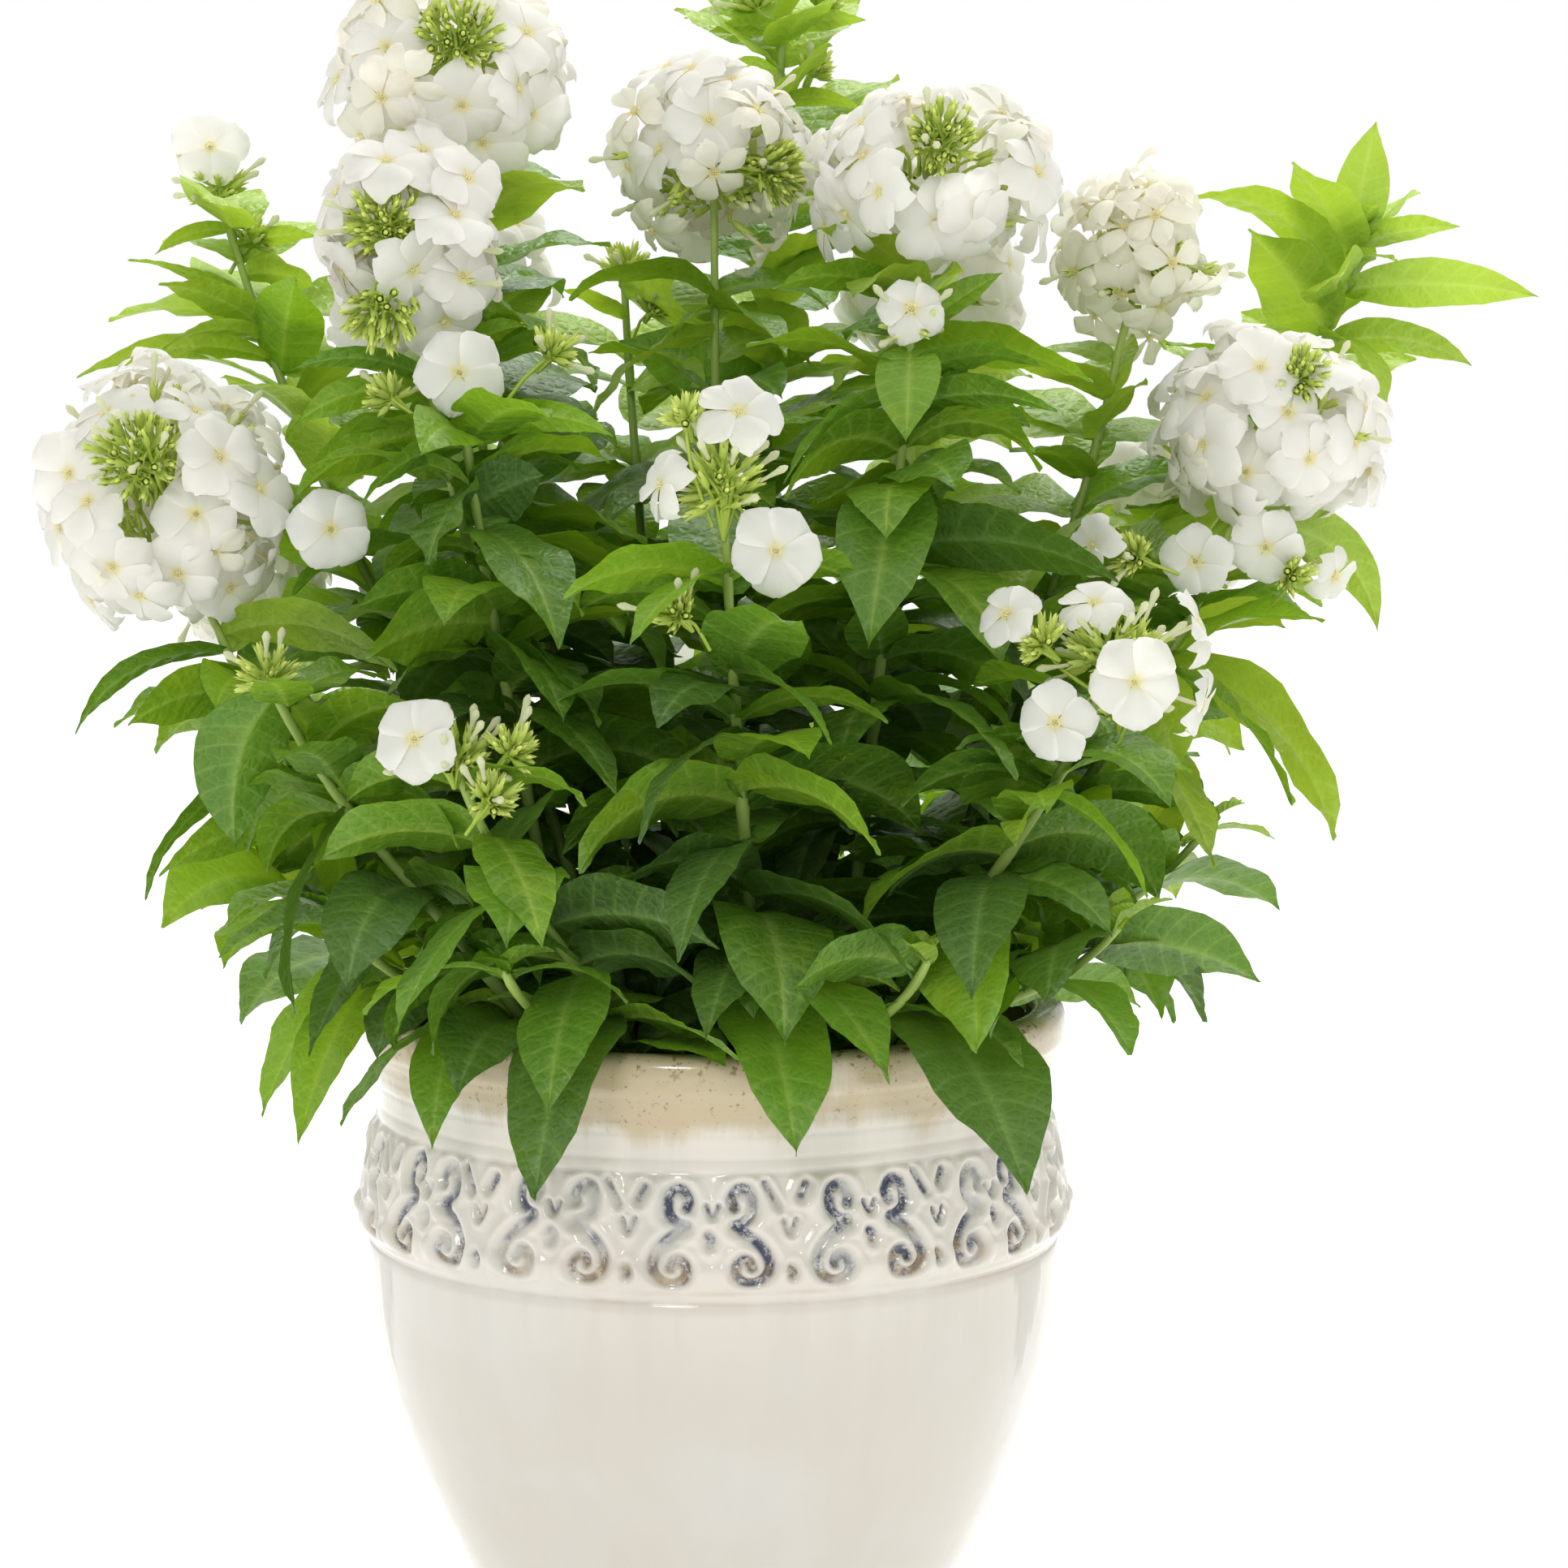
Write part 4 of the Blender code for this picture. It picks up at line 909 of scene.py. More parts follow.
class Paint:
    """A material under construction."""

    def __init__(self, name: str) -> None:
        """Makes an empty material with one surface shader.

        Args:
            name: The material's name.
        """
        self.material = bpy.data.materials.new(name)
        self.material.use_nodes = True
        self.tree = self.material.node_tree
        self.shader = self.tree.nodes["Principled BSDF"]
        self.output = self.tree.nodes["Material Output"]

    def node(self, kind: str, inputs: dict | None = None, **settings: str) -> bpy.types.Node:
        """Adds a node.

        Args:
            kind: The node's type.
            inputs: Values or outputs of other nodes, by the input's name or number.
            **settings: The node's own settings.

        Returns:
            The node.
        """
        node = self.tree.nodes.new(kind)
        for name, value in settings.items():
            setattr(node, name, value)
        for name, value in (inputs or {}).items():
            self.feed(node.inputs[name], value)
        return node

    def feed(self, socket: Socket, value: Feed) -> None:
        """Links an output to an input, or sets the input's own value.

        Args:
            socket: The input.
            value: An output, or the input's own value.
        """
        if isinstance(value, Socket):
            self.tree.links.new(value, socket)
        elif isinstance(value, tuple) and len(value) == 3 and socket.type == "RGBA":
            socket.default_value = (*value, 1.0)
        else:
            socket.default_value = value

    def surface(self, **inputs: Feed) -> None:
        """Feeds the surface shader, spaces in its inputs' names written as underscores."""
        for name, value in inputs.items():
            self.feed(self.shader.inputs[name.replace("_", " ")], value)

    def mix(self, share: Feed, one: Feed, two: Feed) -> Socket:
        """Mixes two colours.

        Args:
            share: How much of the second, a number or an output.
            one: The first colour.
            two: The second.

        Returns:
            The mixed colour.
        """
        node = self.node("ShaderNodeMix", data_type="RGBA")
        self.feed(node.inputs[0], share)
        self.feed(node.inputs[6], one)
        self.feed(node.inputs[7], two)
        return node.outputs[2]

    def math(self, operation: str, one: Feed, two: Feed) -> Socket:
        """One step of arithmetic."""
        return self.node("ShaderNodeMath", {0: one, 1: two}, operation=operation).outputs[0]

    def times(self, one: Feed, two: Feed) -> Socket:
        """One value times another."""
        return self.math("MULTIPLY", one, two)

    def plus(self, one: Feed, two: Feed) -> Socket:
        """One value plus another."""
        return self.math("ADD", one, two)

    def steps(self, value: Feed, low: float, high: float, start: float = 0.0,
              end: float = 1.0) -> Socket:
        """A value eased from start to end between low and high.

        Args:
            value: The value.
            low: The value that gives start.
            high: The value that gives end.
            start: The result at low.
            end: The result at high.

        Returns:
            The eased value.
        """
        node = self.node("ShaderNodeMapRange", {0: value, 1: low, 2: high, 3: start, 4: end},
                         interpolation_type="SMOOTHSTEP")
        return node.outputs[0]

    def place(self, scale: Triple = (1.0, 1.0, 1.0)) -> Socket:
        """The piece's own coordinates in metres, stretched by a scale."""
        where = self.node("ShaderNodeTexCoord").outputs["Object"]
        return self.node("ShaderNodeMapping", {"Vector": where, "Scale": scale}).outputs[0]

    def noise(self, vector: Socket, scale: float, detail: float = 2.0, rough: float = 0.5) -> Socket:
        """Soft noise between 0 and 1 at so many lumps a metre.

        Args:
            vector: The coordinates.
            scale: Lumps a metre.
            detail: Layers of finer lumps.
            rough: How strong the finer ones are.

        Returns:
            The noise.
        """
        node = self.node("ShaderNodeTexNoise",
                         {"Vector": vector, "Scale": scale, "Detail": detail, "Roughness": rough})
        return node.outputs["Fac"]

    def tint(self) -> tuple[Socket, ...]:
        """The three numbers stored at each point."""
        colour = self.node("ShaderNodeAttribute", attribute_name="tint").outputs["Color"]
        return tuple(self.node("ShaderNodeSeparateColor", {0: colour}).outputs)

    def bump(self, height: Socket, distance: float, strength: float) -> None:
        """Raises the surface by a height between 0 and 1, times a distance in metres."""
        node = self.node("ShaderNodeBump", {"Height": height, "Distance": distance, "Strength": strength})
        self.feed(self.shader.inputs["Normal"], node.outputs[0])

    def let_light_through(self, colour: Feed, share: float) -> None:
        """Mixes in light that comes through from behind.

        Args:
            colour: The light's colour.
            share: How much of the surface it is.
        """
        through = self.node("ShaderNodeBsdfTranslucent", {"Color": colour})
        both = self.node("ShaderNodeMixShader", {0: share, 1: self.shader.outputs[0], 2: through.outputs[0]})
        self.tree.links.new(both.outputs[0], self.output.inputs["Surface"])


@dataclass(frozen=True)
class LeafFinish:
    """A green leaf: a pale midrib, side veins a shade lighter, yellower patches and a soft shine."""

    name: str
    green: Triple
    vein: Triple
    through: Triple
    patch: Triple
    share: float = 0.24                # of the light that comes through from behind
    rough: float = 0.40

    def material(self) -> bpy.types.Material:
        """Makes the material.

        Returns:
            The material.
        """
        paint = Paint(self.name)
        where = paint.place()
        veins, midrib, own = paint.tint()
        clouds = paint.noise(where, 85.0, 3.0)
        mottled = paint.mix(paint.steps(clouds, 0.35, 0.7, 0.0, 0.55), self.green,
                            tuple(channel * 0.62 for channel in self.green))
        shade = paint.mix(paint.times(own, 0.55), mottled,
                          tuple(min(1.0, channel * 1.45 + 0.008) for channel in self.green))
        patches = paint.steps(paint.noise(where, 38.0, 2.0), 0.56, 0.72, 0.0, 0.6)
        patched = paint.mix(patches, shade, self.patch)
        net = paint.node("ShaderNodeTexVoronoi", {"Vector": where, "Scale": 230.0},
                         feature="DISTANCE_TO_EDGE")
        fields = net.outputs["Distance"]
        netted = paint.mix(paint.steps(fields, 0.0, 0.09, 0.22, 0.0), patched, self.vein)
        veined = paint.mix(paint.times(paint.math("POWER", veins, 9.0), 0.46), netted, self.vein)
        ribbed = paint.mix(paint.times(paint.math("POWER", midrib, 3.0), 0.85), veined, self.vein)
        paint.surface(Base_Color=ribbed, Specular_IOR_Level=0.5, Roughness=paint.steps(
            paint.noise(where, 240.0), 0.2, 0.8, self.rough - 0.07, self.rough + 0.08))
        puckered = paint.plus(paint.times(paint.steps(fields, 0.0, 0.35), 0.5),
                              paint.times(veins, -0.6))
        fine = paint.plus(paint.times(paint.noise(where, 700.0, 3.0), 0.3), puckered)
        paint.bump(fine, 0.0006, 0.75)
        paint.let_light_through(self.through, self.share)
        return paint.material


@dataclass(frozen=True)
class PetalFinish:
    """A soft white petal with faint streaks, greenish yellow where it meets the throat."""

    name: str
    white: Triple = (0.962, 0.947, 0.918)
    throat: Triple = (0.88, 0.79, 0.38)
    shade: Triple = (0.898, 0.885, 0.850)
    through: Triple = (0.95, 0.93, 0.87)
    share: float = 0.42                # of the light that comes through from behind

    def material(self) -> bpy.types.Material:
        """Makes the material.

        Returns:
            The material.
        """
        paint = Paint(self.name)
        where = paint.place()
        inward, streak, own = paint.tint()
        streaks = paint.mix(paint.times(streak, 0.35), self.white, self.shade)
        varied = paint.mix(paint.times(own, 0.25), streaks, tuple(c * 0.95 for c in self.white))
        colour = paint.mix(paint.math("POWER", inward, 1.6), varied, self.throat)
        paint.surface(Base_Color=colour, Specular_IOR_Level=0.25,
                      Roughness=paint.steps(paint.noise(where, 300.0), 0.2, 0.8, 0.5, 0.68))
        height = paint.plus(paint.times(streak, 0.6), paint.noise(where, 800.0, 3.0))
        paint.bump(height, 0.0003, 0.5)
        paint.let_light_through(self.through, self.share)
        return paint.material


@dataclass(frozen=True)
class GreenFinish:
    """Stems, stalks, cups and buds: a fresh green, streaked along, paler at the tip."""

    name: str
    green: Triple
    tip: Triple
    rough: float = 0.45

    def material(self) -> bpy.types.Material:
        """Makes the material.

        Returns:
            The material.
        """
        paint = Paint(self.name)
        streaks = paint.noise(paint.place((1.0, 1.0, 0.15)), 420.0, 3.0)
        height, _, own = paint.tint()
        base = paint.mix(paint.times(streaks, 0.4), self.green, tuple(c * 0.7 for c in self.green))
        own_shade = paint.mix(paint.times(own, 0.4), base, tuple(c * 0.65 for c in self.green))
        paint.surface(Base_Color=paint.mix(height, own_shade, self.tip), Specular_IOR_Level=0.4,
                      Roughness=paint.steps(streaks, 0.2, 0.8, self.rough - 0.08, self.rough + 0.1))
        paint.bump(streaks, 0.0003, 0.5)
        return paint.material


@dataclass(frozen=True)
class GlazeFinish:
    """A thick ivory glaze: tan where it runs thin over the rim, blue-grey where it pools, and darker towards
    the foot, a painted shade against the floor's light.
    """

    name: str = "glaze"
    ivory: Triple = (0.70, 0.655, 0.575)
    cool: Triple = (0.66, 0.69, 0.70)
    tan: Triple = (0.50, 0.40, 0.23)
    rust: Triple = (0.16, 0.075, 0.03)
    halo: Triple = (0.42, 0.47, 0.50)
    pool: Triple = (0.045, 0.055, 0.100)
    amber: Triple = (0.26, 0.19, 0.10)
    stain: Triple = (0.44, 0.33, 0.17)
    drip: Triple = (0.44, 0.42, 0.36)
    pin: Triple = (0.05, 0.04, 0.03)
    foot: Pair = (0.150, 0.225)         # heights over which the painted shade on the lower body fades, the body turning paler upward
    lip: Pair = (0.2775, 0.2875)        # and where the lip's specks set in
    curl: Pair = (0.204, 0.216)         # and where the lower curls end

    def material(self) -> bpy.types.Material:
        """Makes the material.

        Returns:
            The material.
        """
        paint = Paint(self.name)
        where = paint.place()
        pooled, thin, run = paint.tint()
        tall = paint.place((1.0, 1.0, 0.08))
        streaks = paint.noise(tall, 60.0, 4.0, 0.6)
        clouds = paint.noise(where, 14.0, 3.0)
        height = paint.node("ShaderNodeSeparateXYZ", {0: where}).outputs[2]
        # painted shade: the body darker towards the foot, offsetting the light that the floor throws up on
        # it
        shaded_low_body = paint.mix(paint.steps(height, *self.foot), tuple(c * 0.85 for c in self.ivory), self.ivory)
        ivory = paint.mix(paint.times(paint.steps(streaks, 0.35, 0.75), 0.45), shaded_low_body,
                          tuple(c * 0.80 for c in self.ivory))
        cool = paint.mix(paint.times(paint.steps(clouds, 0.45, 0.7), 0.22), ivory, self.cool)
        edge = paint.plus(thin, paint.times(paint.math("SUBTRACT", streaks, 0.5), 1.1))
        tan = paint.mix(paint.steps(edge, 0.35, 0.8, 0.0, 0.85), cool, self.tan)
        grain = paint.noise(where, 420.0, 4.0, 0.7)
        rusty = paint.times(paint.steps(grain, 0.60, 0.68), paint.steps(edge, 0.3, 0.9))
        lip = paint.times(paint.steps(height, *self.lip),
                          paint.steps(paint.noise(where, 190.0, 3.0, 0.7), 0.56, 0.64))
        speck = paint.math("MAXIMUM", paint.times(rusty, 0.7), paint.times(lip, 0.8))
        specked = paint.mix(speck, tan, self.rust)
        broken = paint.steps(paint.noise(where, 170.0, 5.0, 0.8), 0.36, 0.55)
        patchy = paint.steps(paint.noise(where, 50.0, 2.0), 0.36, 0.53, 0.14, 1.0)
        blue = paint.times(paint.times(paint.steps(pooled, 0.22, 0.72), broken), patchy)
        halo = paint.mix(paint.times(pooled, 0.45), specked, self.halo)
        low = paint.steps(height, *self.curl, 1.0, 0.0)
        stained = paint.mix(paint.times(paint.times(pooled, low), paint.steps(
            paint.noise(where, 60.0, 2.0), 0.40, 0.60)), halo, self.stain)
        ambers = paint.plus(paint.noise(where, 90.0, 3.0), paint.times(low, 0.12))
        pool = paint.mix(paint.steps(ambers, 0.58, 0.68, 0.0, 0.8), self.pool, self.amber)
        blued = paint.mix(blue, stained, pool)
        dulled = paint.mix(paint.times(run, 0.62), blued, self.drip)
        cells = paint.node("ShaderNodeTexVoronoi", {"Vector": where, "Scale": 26.0, "Randomness": 1.0})
        chosen = paint.math("GREATER_THAN", paint.node(
            "ShaderNodeSeparateColor", {0: cells.outputs["Color"]}).outputs[0], 0.72)
        pin = paint.times(paint.steps(cells.outputs["Distance"], 0.022, 0.032, 1.0, 0.0), chosen)
        paint.surface(Base_Color=paint.mix(pin, dulled, self.pin), Roughness=paint.steps(
            clouds, 0.3, 0.7, 0.08, 0.16), Coat_Weight=0.1, Coat_Roughness=0.04, Specular_IOR_Level=0.5)
        dimples = paint.plus(paint.noise(where, 55.0, 2.0), paint.times(grain, 0.12))
        paint.bump(dimples, 0.0012, 0.35)
        return paint.material


@dataclass(frozen=True)
class CompostFinish:
    """Dark, crumbly compost."""

    name: str = "compost"
    dark: Triple = (0.012, 0.009, 0.006)
    light: Triple = (0.06, 0.042, 0.026)
    fibre: Triple = (0.14, 0.10, 0.06)

    def material(self) -> bpy.types.Material:
        """Makes the material.

        Returns:
            The material.
        """
        paint = Paint(self.name)
        where = paint.place()
        crumbs = paint.noise(where, 320.0, 6.0, 0.7)
        fibres = paint.node("ShaderNodeTexVoronoi", {"Vector": where, "Scale": 260.0}).outputs["Distance"]
        brown = paint.mix(paint.steps(crumbs, 0.35, 0.7), self.dark, self.light)
        paint.surface(Base_Color=paint.mix(paint.steps(fibres, 0.0, 0.25, 0.25, 0.0), brown, self.fibre),
                      Roughness=paint.steps(crumbs, 0.3, 0.7, 0.8, 0.97), Specular_IOR_Level=0.2)
        paint.bump(paint.plus(crumbs, fibres), 0.003, 0.9)
        return paint.material


@dataclass(frozen=True)
class FloorFinish:
    """The plain pale floor."""

    name: str = "floor"
    pale: Triple = (0.86, 0.86, 0.86)
    mottle: Triple = (0.83, 0.83, 0.83)
    glow: float = 0.44

    def material(self) -> bpy.types.Material:
        """Makes the material.

        Returns:
            The material.
        """
        paint = Paint(self.name)
        mottle = paint.noise(paint.place(), 6.0)
        white = paint.mix(paint.times(mottle, 0.1), self.pale, self.mottle)
        paint.surface(Base_Color=white, Roughness=0.8, Specular_IOR_Level=0.1,
                      Emission_Color=(1.0, 1.0, 1.0), Emission_Strength=self.glow)
        return paint.material


class Shade(Enum):
    """The greens that are dealt out leaf by leaf: partly the greens of older and younger leaves, partly lit
    and shaded copies of one green, that is painted light and shade.
    """

    DEEP = LeafFinish("leaf_deep", (0.057, 0.126, 0.020), (0.19, 0.31, 0.08), (0.14, 0.29, 0.01),
                      (0.085, 0.180, 0.012), 0.22)
    MID = LeafFinish("leaf_mid", (0.086, 0.196, 0.015), (0.28, 0.43, 0.08), (0.20, 0.42, 0.012),
                     (0.160, 0.290, 0.012), 0.26)
    BRIGHT = LeafFinish("leaf_bright", (0.138, 0.285, 0.018), (0.38, 0.54, 0.08), (0.36, 0.60, 0.015),
                        (0.250, 0.390, 0.012), 0.30)
    YOUNG = LeafFinish("leaf_young", (0.270, 0.420, 0.045), (0.48, 0.62, 0.13), (0.50, 0.70, 0.035),
                       (0.350, 0.480, 0.024), 0.36)


# ---- leaves


@dataclass
class Blade:
    """The fine form of a leaf: rows laid along its side veins, quilted between them."""

    veins: int = 8
    columns: tuple[float, ...] = (-1.0, -0.68, -0.36, -0.07, 0.0, 0.07, 0.36, 0.68, 1.0)
    slant: float = 0.13
    fullness: float = 1.08             # the blade's width, of the source's
    quilt: float = 0.65 * MM
    rib: float = 0.45 * MM
    outline_power: float = 0.80
    outline_fullness: float = 0.78
    # how leaves differ, each a range or the most either way
    side_bend: float = 0.05
    fold: Pair = (0.7, 2.0)             # of the source's keel
    fresh_fold: float = 0.35
    arch: Pair = (0.05, 0.22)
    waves: Pair = (1.5, 3.2)
    wave_depth: Pair = (0.03, 0.13)
    twist: float = 0.35
    tip_length: float = 0.024

    def __post_init__(self) -> None:
        """Lays out the rows, the faces and which points lie on a vein."""
        inner = 2 * self.veins
        self.rows = np.array([0.02] + [0.06 + 0.88 * i / (inner - 1) for i in range(inner)] + [0.975])
        self.across = np.array(self.columns)
        on_vein = np.array([0.0] + [1.0 - i % 2 for i in range(inner)] + [0.0])
        wide = len(self.columns)
        self.vein_values = np.repeat(on_vein[:, None], wide, axis=1)
        near_rib = np.clip(1.0 - np.abs(self.across)[None] * 3.0, 0, 1)
        self.rib_values = np.repeat(near_rib, len(self.rows), axis=0)
        count = len(self.rows) * wide
        self.faces = grid_faces(len(self.rows), wide)
        tip, last = count, (len(self.rows) - 1) * wide
        self.faces += [(last + c, last + c + 1, tip) for c in range(wide - 1)]

    def outline(self, along: np.ndarray) -> np.ndarray:
        """The blade's width at shares of its length, of the widest.

        Args:
            along: Shares of the length.

        Returns:
            The width at each.
        """
        full = np.sin(math.pi * along ** self.outline_power) ** self.outline_fullness
        pinch = 1.0 - 0.42 * np.clip((along - 0.74) / 0.26, 0, 1)
        return full * (pinch - 0.33 * np.clip((along - 0.90) / 0.085, 0, 1))

    def lay(self, leaf: Leaf, dice: Dice) -> tuple[np.ndarray, np.ndarray]:
        """Places the points of one leaf.

        Args:
            leaf: The leaf.
            dice: Random numbers for its own bends.

        Returns:
            The points, and three values for each.
        """
        side_curve = dice.uniform(-self.side_bend, self.side_bend)
        fold = leaf.keel * dice.uniform(*self.fold) + self.fresh_fold * leaf.fresh
        arch = dice.uniform(*self.arch) * (1.0 - leaf.fresh)
        waves, phase = dice.uniform(*self.waves), dice.uniform(0, math.tau)
        wave_depth = dice.uniform(*self.wave_depth)
        twist = dice.uniform(-self.twist, self.twist)
        sizes = leaf.length / (100 * MM)
        half = leaf.length * leaf.width * self.fullness
        s = self.across[None]
        base = self.rows[:, None]
        swept = self.slant * np.abs(s) ** 1.3 * np.sin(math.pi * base) ** 0.6 * (1 - 0.4 * base)
        along = np.clip(base + swept, 0.0, 0.985)
        width = self.outline(along) * half
        x = s * width
        lift = fold * np.abs(x) - arch * x * x / half
        lift += wave_depth * half * s * s * np.sin(waves * math.tau * along + phase + (s > 0) * 1.7)
        middle = np.clip(np.abs(s) * 4.0, 0, 1) * (1 - 0.6 * np.abs(s))
        lift += self.quilt * sizes * (1.0 - 2.0 * self.vein_values) * middle
        lift -= self.rib * sizes * self.rib_values
        upward = np.array((0.0, 0.0, 1.0))
        angle = leaf.rise - leaf.droop * along
        bend = leaf.droop if abs(leaf.droop) > 1e-3 else 1e-3
        out = np.array(leaf.out)
        flat = leaf.length * (math.sin(leaf.rise) - np.sin(leaf.rise - bend * along)) / bend
        rise = leaf.length * (np.cos(leaf.rise - bend * along) - math.cos(leaf.rise)) / bend
        across = np.cross(out, upward)
        ahead = out * np.cos(angle)[..., None] + upward * np.sin(angle)[..., None]
        above = np.cross(across, ahead)
        roll = leaf.roll + twist * along
        side = across * np.cos(roll)[..., None] + above * np.sin(roll)[..., None]
        up = np.cross(side, ahead)
        centre = np.array(leaf.root) + out * flat[..., None] + upward * rise[..., None]
        centre = centre + across * (side_curve * leaf.length * along ** 2)[..., None]
        points = centre + side * x[..., None] + up * lift[..., None]
        tip = centre[-1, len(self.columns) // 2] + ahead[-1, 0] * leaf.length * self.tip_length
        own = dice.random()
        values = np.stack([self.vein_values, self.rib_values, np.full_like(self.vein_values, own)], axis=-1)
        return (np.vstack([points.reshape(-1, 3), tip]),
                np.vstack([values.reshape(-1, 3), (0.0, 0.5, own)]))


@dataclass
class Foliage:
    """All the leaves: the source's own, and finer ones that grow between them."""

    leaf_rule: LeafRule = field(default_factory=LeafRule)
    finer: FinerRule = field(default_factory=FinerRule)
    blade: Blade = field(default_factory=Blade)
    steep: float = math.radians(57)
    bare: tuple[Vector, ...] = (mm(141, -120, 261),)       # where no leaf's tip may hang
    bare_reach: float = 12 * MM
    # a leaf's age and painted light together, from the first shade's to the last's; the terms for height,
    # middle, outside and behind paint light and shade into the green
    youngest: float = 0.15
    # partly the leaf's youth, partly painted light: higher leaves paler as if lit from above
    for_height_and_light: float = 0.70
    height_power: float = 1.6
    # painted light: middle-height leaves paler, making up for the shade in the crown's middle
    painted_light_middle: float = 0.52
    for_fresh: float = 0.6
    # painted light: outer leaves paler, as if they catch more light
    painted_light_outside: float = 0.20
    # painted light and shade: high leaves at the back paler as if lit through from behind, front ones deeper
    painted_backlight: float = 0.52
    age_play: float = 0.34
    ages: Triple = (0.30, 0.62, 0.98)
    outside_reach: float = 170 * MM
    behind_reach: float = 100 * MM
    seed: int = 1500

    def shade_of(self, leaf: Leaf, dice: Dice) -> Shade:
        """Deals a leaf its green: deep low down, fresh at the top. The green stands partly for the leaf's
        youth and partly for painted light and shade: paler higher up, outward, at the back and at middle
        height, deeper at the front.

        Args:
            leaf: The leaf.
            dice: Random numbers.

        Returns:
            The shade.
        """
        outside = min(1.0, math.hypot(leaf.root.x, leaf.root.y) / self.outside_reach)
        behind = max(-0.8, min(1.0, leaf.root.y / self.behind_reach))
        middle = leaf.high * (1.0 - leaf.high)
        # the leaf's youth mixed with painted light and shade by height, middle, outside and behind
        age_and_light = (self.youngest + leaf.high ** self.height_power * self.for_height_and_light + middle * self.painted_light_middle
               + leaf.fresh * self.for_fresh + outside * self.painted_light_outside
               + behind * leaf.high * self.painted_backlight + dice.uniform(-self.age_play, self.age_play))
        return list(Shade)[sum(age_and_light >= limit for limit in self.ages)]

    def grow(self, paths: dict[str, StemPath], space: Space, low: Vector, high: Vector) -> list[Leaf]:
        """Grows every stem's leaves, the source's first.

        Args:
            paths: Each stem's centre line.
            space: What is already placed.
            low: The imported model's lowest corner.
            high: Its highest corner.

        Returns:
            All leaves.
        """
        leaves = []
        rule, finer = self.leaf_rule, self.finer
        for site in sites(paths, space, rule.set_seed):
            leaves += rule.set_leaves(site)
        log.info("%d leaves set one by one", len(leaves))
        for site in sites(paths, space, rule.seed):
            leaves += rule.grow(site)
        log.info("%d leaves by the source's rule", len(leaves))
        OpenAir().fill(space)
        for number, site in enumerate(sites(paths, space, finer.seed)):
            if site.stem.kind is Kind.LEAFY:
                tuft = finer.crown(replace(site, dice=random.Random(finer.seed - 1 - number)))
                leaves += [leaf for leaf in tuft if finer.inside(leaf, low, high)]
            leaves += finer.fill(site, low, high)
        log.info("%d leaves in all", len(leaves))
        space.clear_out(OpenAir.owner)
        return [leaf for leaf in leaves
                if all((leaf.spine(1.0)[0] - spot).length > self.bare_reach for spot in self.bare)]

    def build(self, leaves: list[Leaf]) -> list[bpy.types.Object]:
        """Joins the leaves into one piece for each green.

        Args:
            leaves: The leaves.

        Returns:
            One piece for each green in use.
        """
        sheets = {shade: Sheet() for shade in Shade}
        dice = random.Random(self.seed)
        for leaf in leaves:
            if leaf.rise - leaf.droop / 2 > self.steep:      # an upright leaf shows its face to the front
                across = math.atan2(-leaf.out.x, leaf.out.y)
                leaf.roll = (across + math.pi / 2) % math.pi - math.pi / 2
            points, values = self.blade.lay(leaf, dice)
            sheets[self.shade_of(leaf, dice)].add(points, self.blade.faces, values)
        nodes = [stem.leaf_node for stem in STEMS]
        return [sheet.build("leaves_" + shade.name.lower(), shade.value.material(), nodes, "leaf")
                for shade, sheet in sheets.items() if sheet.count]


# ---- stems


@dataclass
class StemSet:
    """The stems, smooth and a little swollen at each pair of leaves."""

    finish: GreenFinish = GreenFinish("stem", (0.16, 0.26, 0.045), (0.34, 0.46, 0.10))
    sides: int = 9
    spacing: float = 7 * MM
    swelling: float = 0.28
    swollen: float = 5 * MM
    tip: float = 1.3 * MM              # the rounded end above the last ring
    tip_share: float = 0.12            # its radius there, of the stem's
    head_depth: float = 0.25           # how far below a dome's middle its stem ends, of its half height

    def build(self, paths: dict[str, StemPath]) -> bpy.types.Object:
        """Makes all stems as one piece.

        Args:
            paths: Each stem's centre line.

        Returns:
            The piece.
        """
        sheet = Sheet()
        for stem in STEMS:
            path = paths[stem.name]
            count = max(8, round(path.length / self.spacing))
            line = path.smooth(count)
            if stem.kind is Kind.DOME:
                heart = (Vector(stem.top) - UP * stem.size[1] * self.head_depth) * MM
                inner = [path.points[-1].lerp(heart, share) for share in (0.33, 0.66, 1.0)]
                line = np.vstack([line, inner])
            ahead = (line[-1] - line[-2]) / np.linalg.norm(line[-1] - line[-2])
            line = np.vstack([line, line[-1] + ahead * self.tip])
            steps = np.linalg.norm(np.diff(line, axis=0), axis=1)
            marks = np.concatenate([[0.0], np.cumsum(steps)])
            radii = np.array([path.radius(min(mark, path.length)) for mark in marks])
            step = LeafRule.internode
            offset = (marks - STEM_RULE.bare(stem, path) - LeafRule.first_pair) % step
            near = np.minimum(offset, step - offset)
            radii = radii * (1 + self.swelling * np.exp(-(near / self.swollen) ** 2))
            radii[-1] *= self.tip_share
            points = tube_points(line, radii, self.sides)
            height = np.repeat(np.clip(marks / path.length, 0, 1), self.sides) ** 1.5
            values = np.stack([height, height, np.full_like(height, (len(stem.name) % 5) / 5)], axis=1)
            sheet.add(points, grid_faces(len(line), self.sides, closed=True), values)
        nodes = ["stem_" + stem.name for stem in STEMS if stem.own_stem]
        return sheet.build("stems", self.finish.material(), nodes, "stem")


# ---- blooms and buds


